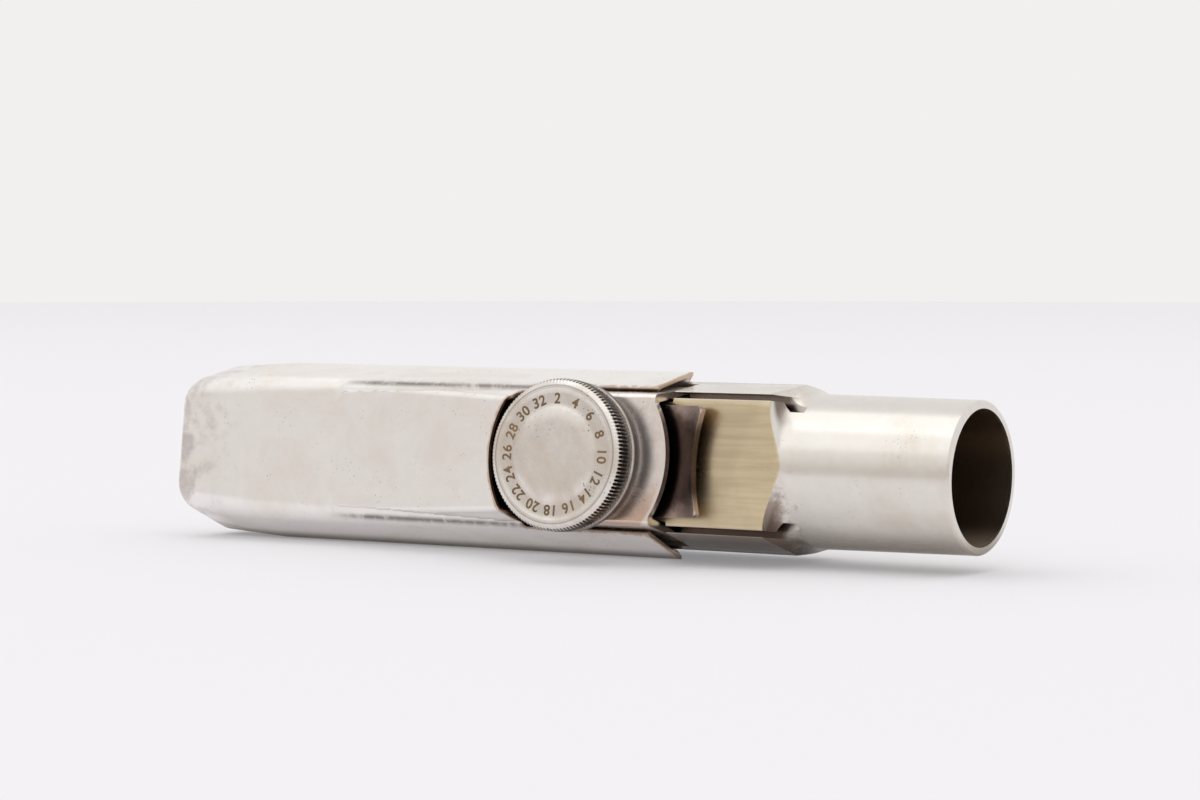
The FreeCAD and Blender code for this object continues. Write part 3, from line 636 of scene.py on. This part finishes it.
def knob_shape():
    """Rows go from the middle of the front, over the bevel, down the side and in at the back.
    Radius on the side = disc radius less a tooth, the depth times the distance of the turn's
    phase from a crest. The stamped ring is a shallow step in the front."""
    face = [(0.0, 0.0), (2.0, 0.0), (4.0, 0.0), (RING_IN - 0.12, 0.0), (RING_IN, -RING_STEP),
            (RING_IN + 0.5, -RING_STEP), (RING_OUT - 0.5, -RING_STEP), (RING_OUT, -RING_STEP),
            (RING_OUT + 0.12, 0.0), (8.15, 0.0), (8.30, -0.03), (8.72, -0.22), (8.92, -0.36), (9.02, -0.50)]
    side = [(9.06, -0.60), (KNOB_R, -0.74), (KNOB_R, -1.1), (KNOB_R, -1.9), (KNOB_R, -2.4), (9.05, -2.62)]
    back = [(8.9, -2.82), (8.72, -2.95), (8.6, -3.0), (6.0, -3.0), (2.45, -3.0), (2.45, -1.5), (0.0, -1.5)]
    profile = np.array(face + side + back)
    plain_face, plain_back = [0.0] * (len(face) - 2), [0.0] * (len(back) - 2)
    weight = np.array(plain_face + [0.25, 0.7] + [1.0] * len(side) + [0.6, 0.15] + plain_back)
    angle = np.linspace(0, 2 * np.pi, KNURL_TEETH * 6, endpoint=False)[None, :]
    phase = np.abs(((angle * KNURL_TEETH / (2 * np.pi)) % 1.0) - 0.5) * 2
    tooth = KNURL_DEPTH * np.clip(1.15 * phase - 0.08, 0, 1)
    r = profile[:, :1] - weight[:, None] * tooth
    h = KNOB_FRONT_H + profile[:, 1:] * np.ones_like(angle)
    crest = np.where(weight[:, None] > 0, 1 - phase, 1.0) * np.ones_like(r)
    side_mask = weight[:, None] * np.ones_like(angle)
    points = about_screw(r, angle * np.ones_like(r), h)
    mesh = surface("knob", points, True, {"crest": crest, "side": side_mask})
    return sharp_over(turned_outward(mesh), 32)


def knob_finish():
    """Worn plate with brown spots, darker in the stamped ring, and painted near-black shade in the knurl's
    roots and down the knurled side.
    """
    material, tree, shader = finish_of("knob plate", 0.27)
    patina = use_patina(tree, (0.84, 0.80, 0.755, 1.0), (0.66, 0.57, 0.48, 1.0), (0.13, 0.10, 0.085, 1.0),
                        0.75, 0.10, 1.0, 0.75)
    crest = add(tree, "ShaderNodeAttribute", attribute_name="crest").outputs["Fac"]
    side = add(tree, "ShaderNodeAttribute", attribute_name="side").outputs["Fac"]
    x = figure(tree, "SUBTRACT", along(tree, (1, 0, 0)), SCREW_X)
    s = along(tree, TABLE_ACROSS)
    h = along(tree, TABLE_OUT)
    radius = reach_of(tree, x, s)
    on_front = between(tree, h, KNOB_FRONT_H - 0.35, KNOB_FRONT_H - 0.15)
    past_inner = between(tree, radius, RING_IN - 0.2, RING_IN + 0.1)
    ring = product(tree, past_inner, between(tree, radius, RING_OUT + 0.2, RING_OUT - 0.1), on_front, 0.12)
    off_line = figure(tree, "ABSOLUTE", figure(tree, "SUBTRACT", radius, RIM_LINE_R))
    edge_line = product(tree, between(tree, off_line, 0.16, 0.02), on_front, 0.5)
    colour = blended(tree, ring, patina.outputs["Color"], (0.30, 0.25, 0.21, 1.0))
    colour = blended(tree, edge_line, colour, (0.14, 0.11, 0.09, 1.0))
    # Painted shade and dark reflection: the knurl's roots and the side behind the front edge are near-black.
    root_shade = product(tree, between(tree, crest, 0.86, 0.45), side, 0.95)
    low = product(tree, between(tree, h, KNOB_FRONT_H - 0.6, KNOB_FRONT_H - 1.15), side, 0.82)
    colour = blended(tree, figure(tree, "MAXIMUM", root_shade, low), colour, (0.035, 0.03, 0.028, 1.0))
    tree.links.new(colour, shader.inputs["Base Color"])
    rough_by(tree, shader, patina.outputs["Stain"], 0.24, 0.46)
    rings = add(tree, "ShaderNodeTexNoise", noise_dimensions="1D", Scale=6.0, Detail=3.0)
    tree.links.new(radius, rings.inputs["W"])
    dents = broken_up(tree, 0.8, 4.0, 0.5)
    height = figure(tree, "ADD", product(tree, rings.outputs["Fac"], 0.35), dents)
    bump = add(tree, "ShaderNodeBump", Strength=0.3, Distance=0.00004)
    tree.links.new(height, bump.inputs["Height"])
    tree.links.new(bump.outputs["Normal"], shader.inputs["Normal"])
    return material


def stamped_numbers(count, radius, size):
    """Even numbers round a ring, clockwise from the top with their tops outwards. A glyph's
    point (u, v) goes to the ring's point at its clock angle plus u to the right and v outwards."""
    points, faces = [], []
    for place in range(count):
        text = bpy.data.curves.new("number", "FONT")
        text.body = str(2 * place + 2)
        text.size = size
        text.align_x = "CENTER"
        text.space_character = 1.12
        text.offset = 0.022 * size
        holder = bpy.data.objects.new("number", text)
        bpy.context.scene.collection.objects.link(holder)
        flat = bpy.data.meshes.new_from_object(holder.evaluated_get(bpy.context.evaluated_depsgraph_get()))
        u, v, _ = np.array([vertex.co for vertex in flat.vertices]).T
        v = v - 0.36 * size
        clock = 2 * np.pi * place / count
        x = SCREW_X + np.sin(clock) * (radius + v) + np.cos(clock) * u
        s = np.cos(clock) * (radius + v) - np.sin(clock) * u
        start = sum(len(p) for p in points)
        points.append(lay(x, s, KNOB_FRONT_H - 0.055))
        faces += [[start + i for i in face.vertices] for face in flat.polygons]
        bpy.data.objects.remove(holder)
        bpy.data.curves.remove(text)
        bpy.data.meshes.remove(flat)
    mesh = bpy.data.meshes.new("stamped numbers")
    mesh.from_pydata(np.concatenate(points).tolist(), [], faces)
    return mesh


def stamp_finish():
    """Tarnish that fills the stamped figures."""
    material, tree, shader = finish_of("stamped tarnish", 0.6, 0.6)
    patina = use_patina(tree, (0.20, 0.125, 0.06, 1.0), (0.32, 0.215, 0.11, 1.0), (0.07, 0.05, 0.03, 1.0),
                        0.8, 0.3, 0.3)
    tree.links.new(patina.outputs["Color"], shader.inputs["Base Color"])
    return material


show("knob", knob_shape(), "screw", knob_finish(), ("thumbscrew_knob",))
show("knob_numbers", stamped_numbers(16, 6.70, 1.75), "screw", stamp_finish())


# --- Cap -------------------------------------------------------------------------------------
# A sleeve of thin drawn sheet with a plate soldered across its far end. Its front is pressed up
# into a flat panel that clears the ligature, and a round-ended slot lets the knob through.

CAP_MOUTH_X = -38.4
CAP_MOUTH_RAKE = 9.5
CAP_RAKE_END_H = -12.0
CAP_END_X = -110.3
CAP_NARROW_X = -98.0
CAP_SLOPE_X = -60.0
CAP_LIP_HALF = 8.8
CAP_LIP_H = 10.2
CAP_HALF = 11.4
CAP_WIDEST_H = 1.8
CAP_BACK_H = -11.0
CAP_END_BACK_H = -4.0
CAP_NARROWING = 0.8
CAP_SHEET = 0.45
SLOT_R = 11.65
SLOT_HALF = 8.6
SLOT_STRAIGHT_X = -55.76
PANEL_HALF = 7.2
PANEL_ROOT_HALF = 8.4
PANEL_TOP_H = 13.5
PANEL_RUNOUT_X = -86.0
END_CORNER = 3.0
END_EDGE = 1.1
FRONT_FROM_H = 8.5
FAR_OFF = 9.0


def rounded_run(corner, before, after, radius, count):
    """Points on the arc that rounds a corner between two directions, with one row per station.
    The arc starts radius over the tangent of the half angle before the corner, and its points
    are the centre plus the radius turned from one side's normal to the other's."""
    unit_in = before / np.linalg.norm(before, axis=-1, keepdims=True)
    unit_out = after / np.linalg.norm(after, axis=-1, keepdims=True)
    half = 0.5 * np.arccos(np.clip((unit_in * unit_out).sum(-1), -1, 1))
    middle = unit_in + unit_out
    middle = middle / np.linalg.norm(middle, axis=-1, keepdims=True)
    centre = corner + middle * (radius / np.sin(half))[:, None]
    start = corner + unit_in * (radius / np.tan(half))[:, None] - centre
    end = corner + unit_out * (radius / np.tan(half))[:, None] - centre
    share = np.linspace(0, 1, count)[None, :, None]
    sweep = np.pi - 2 * half
    weights = np.sin((1 - share) * sweep[:, None, None]), np.sin(share * sweep[:, None, None])
    arc = (weights[0] * start[:, None] + weights[1] * end[:, None]) / np.sin(sweep)[:, None, None]
    return centre[:, None] + arc


def straight_run(first, last, count):
    """Even points between two, without the ends."""
    share = np.linspace(0, 1, count + 2)[1:-1][None, :, None]
    return first[:, None] * (1 - share) + last[:, None] * share


def cap_stations():
    """Places along the cap: close together in the rounded end, and on equal angles round the
    slot's arc, where x = screw less the slot's radius times the cosine."""
    end = CAP_END_X + END_CORNER * (1 - np.cos(np.linspace(0, np.pi / 2, 15)))
    taper = np.linspace(CAP_END_X + END_CORNER, CAP_NARROW_X, 12)[1:]
    plain = np.linspace(CAP_NARROW_X, PANEL_RUNOUT_X, 12)[1:]
    panel = np.linspace(PANEL_RUNOUT_X, SCREW_X - SLOT_R, 34)[1:]
    limit = math.asin(SLOT_HALF / SLOT_R)
    arc = SCREW_X - SLOT_R * np.cos(np.linspace(0, limit, 26)[1:])
    ears = np.linspace(arc[-1], CAP_MOUTH_X, 24)[1:]
    return np.concatenate([end, taper, plain, panel, arc, ears])


def cap_section(x):
    """Right half of the cap's section at each station, from the middle of the front to the middle
    of the back: panel top, its round and side, the front, lip round, flank, widest line and back."""
    narrowing = np.clip((CAP_NARROW_X - x) / (CAP_NARROW_X - CAP_END_X), 0, 1) * CAP_NARROWING
    slope = (CAP_END_BACK_H - CAP_BACK_H) / (CAP_END_X - CAP_SLOPE_X)
    back_h = CAP_BACK_H + np.clip(slope * (x - CAP_SLOPE_X), 0, None)
    lip_r = 1.2 + 1.6 * np.clip((CAP_SLOPE_X - x) / (CAP_SLOPE_X - CAP_NARROW_X), 0, 1)
    flat = np.ones_like(x)

    def spot(s, h):
        return np.stack([s * flat, h * flat], axis=-1)

    lip = spot(CAP_LIP_HALF - narrowing, CAP_LIP_H)
    wide = spot(CAP_HALF - narrowing, CAP_WIDEST_H)
    back_half = CAP_HALF - (CAP_WIDEST_H - back_h) * math.tan(ROLL) - narrowing
    low = spot(back_half, back_h)
    front_mid = spot(0.0, CAP_LIP_H)
    back_mid = spot(0.0, back_h)
    lip_arc = rounded_run(lip, front_mid - lip, wide - lip, lip_r, 12)
    wide_arc = rounded_run(wide, lip - wide, low - wide, 3.0 * flat, 6)
    low_arc = rounded_run(low, wide - low, back_mid - low, 3.6 * flat, 14)
    panel_share = (x - PANEL_RUNOUT_X) / (SCREW_X - SLOT_R - PANEL_RUNOUT_X)
    rise = np.clip((PANEL_TOP_H - CAP_LIP_H) * panel_share, 0, None)
    lean = (PANEL_ROOT_HALF - PANEL_HALF) / (PANEL_TOP_H - CAP_LIP_H)
    top_half = PANEL_ROOT_HALF - lean * rise
    share = np.linspace(0, 1, 60)[None, :]
    plain = share * (top_half[:, None] - 0.8)
    rounding = 0.8
    turn = np.linspace(0, 1, 9)[None, :]
    over_s = top_half[:, None] - rounding + rounding * np.sin(turn * np.pi / 2)
    drop = np.minimum(rounding, rise)[:, None] * (1 - np.cos(turn * np.pi / 2))
    over_h = CAP_LIP_H + rise[:, None] - drop
    foot_s = np.linspace(0, 1, 10)[None, 1:]
    side_s = over_s[:, -1:] + (PANEL_ROOT_HALF + 0.25 - over_s[:, -1:]) * foot_s ** 0.9
    side_h = over_h[:, -1:] + (CAP_LIP_H - over_h[:, -1:]) * (1 - (1 - foot_s) ** 1.25)
    lip_s = lip_arc[:, :, 0]
    lip_h = lip_arc[:, :, 1]
    panel_s = np.concatenate([plain, over_s, side_s], axis=1)
    plain_h = np.broadcast_to(CAP_LIP_H + rise[:, None], plain.shape)
    panel_h = np.concatenate([plain_h, over_h, side_h], axis=1)
    count = panel_s.shape[1]
    straight_s = np.linspace(0, 1, count)[None, :] * lip_s[:, :1]
    weight = np.clip(rise / 0.25, 0, 1)[:, None]
    weight = weight * weight * (3 - 2 * weight)
    front_s = panel_s * weight + straight_s * (1 - weight)
    front_h = panel_h * weight + CAP_LIP_H * (1 - weight)
    front_s = np.minimum(front_s, lip_s[:, -1:])
    lip_level = np.stack([np.interp(a, b, c) for a, b, c in zip(front_s, lip_s, lip_h)])
    front_h = np.where(front_s > lip_s[:, :1], lip_level, front_h)
    keep_s = np.maximum(lip_s, front_s[:, -1:])
    keep_h = np.stack([np.interp(a, b, c) for a, b, c in zip(keep_s, lip_s, lip_h)])
    start = np.stack([front_s, front_h], axis=-1)
    kept = np.stack([keep_s, keep_h], axis=-1)
    flank = straight_run(lip_arc[:, -1], wide_arc[:, 0], 14)
    lower = straight_run(wide_arc[:, -1], low_arc[:, 0], 16)
    back = straight_run(low_arc[:, -1], back_mid, 14)
    runs = [start, kept[:, 1:], flank, wide_arc, lower, low_arc, back, back_mid[:, None]]
    return np.concatenate(runs, axis=1), back_h, narrowing


def cap_shape():
    """The sections carried along the cap and mirrored, opened by the slot, drawn in to the end's
    rounds by a quarter circle in x, and closed by rings that shrink to the end's middle. Below
    the widest line the mouth is raked back in proportion to the drop in height."""
    x = cap_stations()
    section, back_h, narrowing = cap_section(x)
    s, h = section[..., 0], section[..., 1]
    past = np.clip((CAP_END_X + END_CORNER - x) / END_CORNER, 0, 1)
    side_in = END_CORNER * (1 - np.sqrt(1 - past ** 2))
    near = np.clip((CAP_END_X + END_EDGE - x) / END_EDGE, 0, 1)
    edge_in = END_EDGE * (1 - np.sqrt(1 - near ** 2))
    half = CAP_HALF - narrowing
    s = s * (1 - side_in / half)[:, None]
    middle = 0.5 * (CAP_LIP_H + back_h)
    tall = 0.5 * (CAP_LIP_H - back_h)
    pressed = middle[:, None] + (h - middle[:, None]) * (1 - edge_in / tall)[:, None]
    h = np.where(x[:, None] < PANEL_RUNOUT_X, pressed, h)
    slot = np.minimum(np.sqrt(np.clip(SLOT_R ** 2 - (x - SCREW_X) ** 2, 0, None)), SLOT_HALF)
    slot = np.where(x > SCREW_X, SLOT_HALF, np.where(x > SCREW_X - SLOT_R, slot, 0.0))
    opened_s, opened_h = s.copy(), h.copy()
    for row in np.flatnonzero(slot > 0):
        stop = int(np.argmax(s[row] >= CAP_LIP_HALF - 0.02))
        level = np.interp(slot[row], s[row, :stop], h[row, :stop])
        cut = (np.arange(s.shape[1]) < stop) & (s[row] < slot[row])
        opened_s[row, cut] = slot[row]
        opened_h[row, cut] = level
    closing = np.array([0.82, 0.6, 0.35, 0.12, 0.0])
    mid = 0.5 * (opened_h[0].max() + opened_h[0].min())
    ring_s = closing[::-1, None] * opened_s[:1]
    ring_h = mid + closing[::-1, None] * (opened_h[:1] - mid)
    s = np.concatenate([ring_s, opened_s])
    h = np.concatenate([ring_h, opened_h])
    x = np.concatenate([np.full(len(closing), x[0]), x])
    s = np.concatenate([s, -s[:, ::-1]], axis=1)
    h = np.concatenate([h, h[:, ::-1]], axis=1)
    rake = CAP_MOUTH_RAKE * np.clip((CAP_WIDEST_H - h) / (CAP_WIDEST_H - CAP_RAKE_END_H), 0, 1)
    drawn = x[:, None] - rake * np.clip((x[:, None] - CAP_SLOPE_X) / (CAP_MOUTH_X - CAP_SLOPE_X), 0, 1)
    points = lay(drawn, s, h)
    front_side = h > FRONT_FROM_H
    on_arc = x[:, None] < SLOT_STRAIGHT_X
    off_arc = np.hypot(x[:, None] - SCREW_X, s) - SLOT_R
    off_slot = np.clip(np.where(on_arc, off_arc, np.abs(s) - SLOT_HALF), 0, FAR_OFF)
    under_ear = np.clip(CAP_LIP_H - h, 0, FAR_OFF) + 0.3
    to_slot = np.where(front_side, off_slot, np.where(on_arc, FAR_OFF, under_ear))
    to_edge = np.minimum(to_slot, CAP_MOUTH_X - rake - drawn)
    # Where the panel meets the flange: marks the painted shade in the crease.
    crease_shade = np.exp(-((np.abs(s) - PANEL_ROOT_HALF) / 0.35) ** 2) * front_side
    crease_shade = crease_shade * np.clip((x[:, None] - PANEL_RUNOUT_X) / 6.0, 0, 1)
    return surface("cap", points, False, {"to_edge": to_edge, "crease_shade": crease_shade})


def cap_finish():
    """Soft satin plate with warm clouds. Brass within a wavering half millimetre of a thin edge, painted
    shade as dark lines in the creases at the panel's foot, and brown and lavender blotches towards the far
    end."""
    material, tree, shader = finish_of("cap plate", 0.4)
    patina = use_patina(tree, (0.93, 0.905, 0.88, 1.0), (0.80, 0.73, 0.65, 1.0), (0.20, 0.155, 0.13, 1.0),
                        0.5, 0.03, 0.45, 0.8)
    x = along(tree, (1, 0, 0))
    to_edge = add(tree, "ShaderNodeAttribute", attribute_name="to_edge").outputs["Fac"]
    crease_shade = add(tree, "ShaderNodeAttribute", attribute_name="crease_shade").outputs["Fac"]
    noise = broken_up(tree, 0.7)
    broken = figure(tree, "SUBTRACT", noise, 0.5)
    wavy_x = figure(tree, "ADD", x, product(tree, broken, 16.0))
    blotch = between(tree, broken_up(tree, 0.32, 5.0, 0.6), 0.4, 0.62)
    violet = product(tree, between(tree, wavy_x, -101.0, -110.0), blotch, 0.6)
    colour = blended(tree, violet, patina.outputs["Color"], (0.50, 0.44, 0.44, 1.0))
    wavy_edge = figure(tree, "SUBTRACT", to_edge, product(tree, broken, 0.9))
    worn = between(tree, wavy_edge, 0.42, 0.08, 0.0, 0.75)
    colour = blended(tree, worn, colour, (0.52, 0.33, 0.19, 1.0))
    # Painted shade: dark lines in the creases at the panel's foot.
    line = product(tree, crease_shade, between(tree, noise, 0.3, 0.55, 0.35, 0.85))
    colour = blended(tree, line, colour, (0.17, 0.14, 0.13, 1.0))
    # Painted reflection: the lower side is browned for the shaded table that it reflects.
    colour = floor_shade_reflection(tree, shader, colour, -9.7, -11.1, 0.9)
    tree.links.new(colour, shader.inputs["Base Color"])
    rough = figure(tree, "ADD", patina.outputs["Stain"], product(tree, violet, 0.4), clamp=True)
    rough_by(tree, shader, rough, 0.36, 0.52)
    use_lines(tree, shader, millimetres(tree, (0.25, 1.1, 1.1)), 0.18, 0.00003, 0.6)
    return material


def face_out(mesh, centre):
    """Turns every face of an open shell over if, taken together, they point at the centre."""
    shell = bmesh.new()
    shell.from_mesh(mesh)
    bmesh.ops.recalc_face_normals(shell, faces=shell.faces)
    outward = sum(
        (face.calc_center_median() - centre).dot(face.normal) * face.calc_area() for face in shell.faces
    )
    if outward < 0:
        bmesh.ops.reverse_faces(shell, faces=shell.faces)
    shell.to_mesh(mesh)
    shell.free()


cap_mesh = cap_shape()
face_out(cap_mesh, Vector((-0.080, 0.0, 0.0)))
cap = show("cap", cap_mesh, "cap", cap_finish(), ("cap_shell", "cap_end_plate"))
sheet = cap.modifiers.new("sheet", "SOLIDIFY")
sheet.thickness = CAP_SHEET * 0.001
sheet.offset = -1.0
sheet.use_even_offset = False
rim = cap.modifiers.new("sheared edge", "BEVEL")
rim.width = 0.0001
rim.segments = 2
rim.limit_method = "ANGLE"
rim.angle_limit = math.radians(55)
rim.harden_normals = False


# --- Table top and backdrop ------------------------------------------------------------------
# A white table whose far edge meets a pale wall. They hold the object's soft shadow and are not
# part of it.

FLOOR_Z = -0.01112
TABLE_MIDDLE_X = -0.05
TABLE_REACH = 1.75
OWN_GLOW = 0.25


def seen_directly(tree):
    """1 for rays from the eye, and for those that metal or glass sends on."""
    path = add(tree, "ShaderNodeLightPath")
    first = figure(tree, "MAXIMUM", path.outputs["Is Camera Ray"], path.outputs["Is Glossy Ray"])
    return figure(tree, "MAXIMUM", first, path.outputs["Is Transmission Ray"])


def table_finish():
    """White board. Seen directly, part of its brightness is its own, so that it stays even."""
    material, tree, shader = finish_of("white table", 0.9, 0.0)
    shader.inputs["Base Color"].default_value = (0.80, 0.79, 0.81, 1.0)
    shader.inputs["Specular IOR Level"].default_value = 0.1
    glow = add(tree, "ShaderNodeEmission", Color=(0.905, 0.895, 0.92, 1.0), Strength=1.0)
    mix = add(tree, "ShaderNodeMixShader")
    tree.links.new(figure(tree, "MULTIPLY", seen_directly(tree), OWN_GLOW), mix.inputs[0])
    tree.links.new(shader.outputs[0], mix.inputs[1])
    tree.links.new(glow.outputs[0], mix.inputs[2])
    tree.links.new(mix.outputs[0], tree.nodes["Material Output"].inputs["Surface"])
    return material


def table_top():
    """Rings about the object on polar coordinates, out to the far edge."""
    radius = np.concatenate([[0.0], np.geomspace(0.02, TABLE_REACH, 24)])[:, None]
    angle = np.linspace(0, 2 * np.pi, 96, endpoint=False)[None, :]
    x = TABLE_MIDDLE_X + radius * np.cos(angle)
    y = radius * np.sin(angle)
    points = np.stack([x, y, np.full(x.shape, FLOOR_Z)], axis=-1)
    return turned_outward(surface("table top", points, around=True))


top_mesh = table_top()
table = bpy.data.objects.new("table_top", top_mesh)
bpy.context.scene.collection.objects.link(table)
top_mesh.materials.append(table_finish())


# --- Light -----------------------------------------------------------------------------------
# A pale room. One soft box hangs over the object and one over the front of the table, and a dim
# wall behind the viewer gives the metal its darker band above the horizon.

SOFT_BOX_WATTS = 3.0
WALL_AWAY = 1.3
WALL_RISE = 0.62

def room_light():
    """A pale wall all round, a little stronger as light than it looks."""
    world = bpy.data.worlds.new("room")
    bpy.context.scene.world = world
    world.use_nodes = True
    tree = world.node_tree
    background = tree.nodes["Background"]
    background.inputs["Color"].default_value = (0.879, 0.871, 0.863, 1.0)
    tree.links.new(between(tree, seen_directly(tree), 0.0, 1.0, 1.12, 1.0), background.inputs["Strength"])


def soft_box(name, place, target, width, height, watts):
    """A rectangular lamp that faces a point."""
    lamp = bpy.data.lights.new(name, "AREA")
    lamp.shape = "RECTANGLE"
    lamp.size = width
    lamp.size_y = height
    lamp.energy = watts
    holder = bpy.data.objects.new(name, lamp)
    holder.location = place
    holder.rotation_euler = (Vector(target) - Vector(place)).to_track_quat("-Z", "Y").to_euler()
    bpy.context.scene.collection.objects.link(holder)


def dim_wall():
    """Part of a cylinder behind the viewer: its brightness rises with height. Only reflections
    show it, so it lights nothing and hides nothing."""
    angle, rise = np.meshgrid(np.radians(np.linspace(188, 352, 40)), np.linspace(0, WALL_RISE, 12))
    points = np.stack([WALL_AWAY * np.cos(angle), WALL_AWAY * np.sin(angle), FLOOR_Z + rise], axis=-1)
    mesh = surface("dim wall", points)
    material = bpy.data.materials.new("dim wall")
    material.use_nodes = True
    tree = material.node_tree
    place = add(tree, "ShaderNodeTexCoord")
    apart = add(tree, "ShaderNodeSeparateXYZ")
    tree.links.new(place.outputs["Object"], apart.inputs[0])
    up = between(tree, apart.outputs["Z"], 0.0, 0.6)
    colour = blended(tree, up, (0.63, 0.59, 0.56, 1.0), (0.90, 0.88, 0.86, 1.0))
    glow = add(tree, "ShaderNodeEmission", Strength=1.0)
    tree.links.new(colour, glow.inputs["Color"])
    tree.links.new(glow.outputs[0], tree.nodes["Material Output"].inputs["Surface"])
    mesh.materials.append(material)
    wall = bpy.data.objects.new("dim_wall", mesh)
    wall.visible_camera = False
    wall.visible_diffuse = False
    wall.visible_shadow = False
    bpy.context.scene.collection.objects.link(wall)


room_light()
soft_box("overhead", (-0.1, 0.12, 1.5), (-0.05, 0.0, 0.0), 2.0, 1.0, SOFT_BOX_WATTS)
soft_box("over the front", (-0.2, -1.1, 1.5), (-0.05, 0.0, 0.0), 2.4, 1.3, SOFT_BOX_WATTS)
dim_wall()


# --- Camera ----------------------------------------------------------------------------------
# A long lens, a little above the object and to the right of its open end.

VIEW_FROM = Vector((0.1701, -0.3549, 0.0273))
VIEW_RIGHT = Vector((0.8477, 0.5305, 0.0))
VIEW_UP = Vector((-0.0248, 0.0396, 0.9989))
VIEW_BACK = Vector((0.5299, -0.8468, 0.0467))

lens = bpy.data.cameras.new("camera")
lens.lens = 102.0
lens.sensor_width = 36.0
lens.clip_start = 0.01
camera = bpy.data.objects.new("camera", lens)
basis = Matrix((VIEW_RIGHT.normalized(), VIEW_UP.normalized(), VIEW_BACK.normalized())).transposed()
camera.matrix_world = Matrix.Translation(VIEW_FROM) @ basis.to_4x4()
bpy.context.scene.collection.objects.link(camera)
bpy.context.scene.camera = camera
bpy.context.scene.view_settings.view_transform = "Standard"
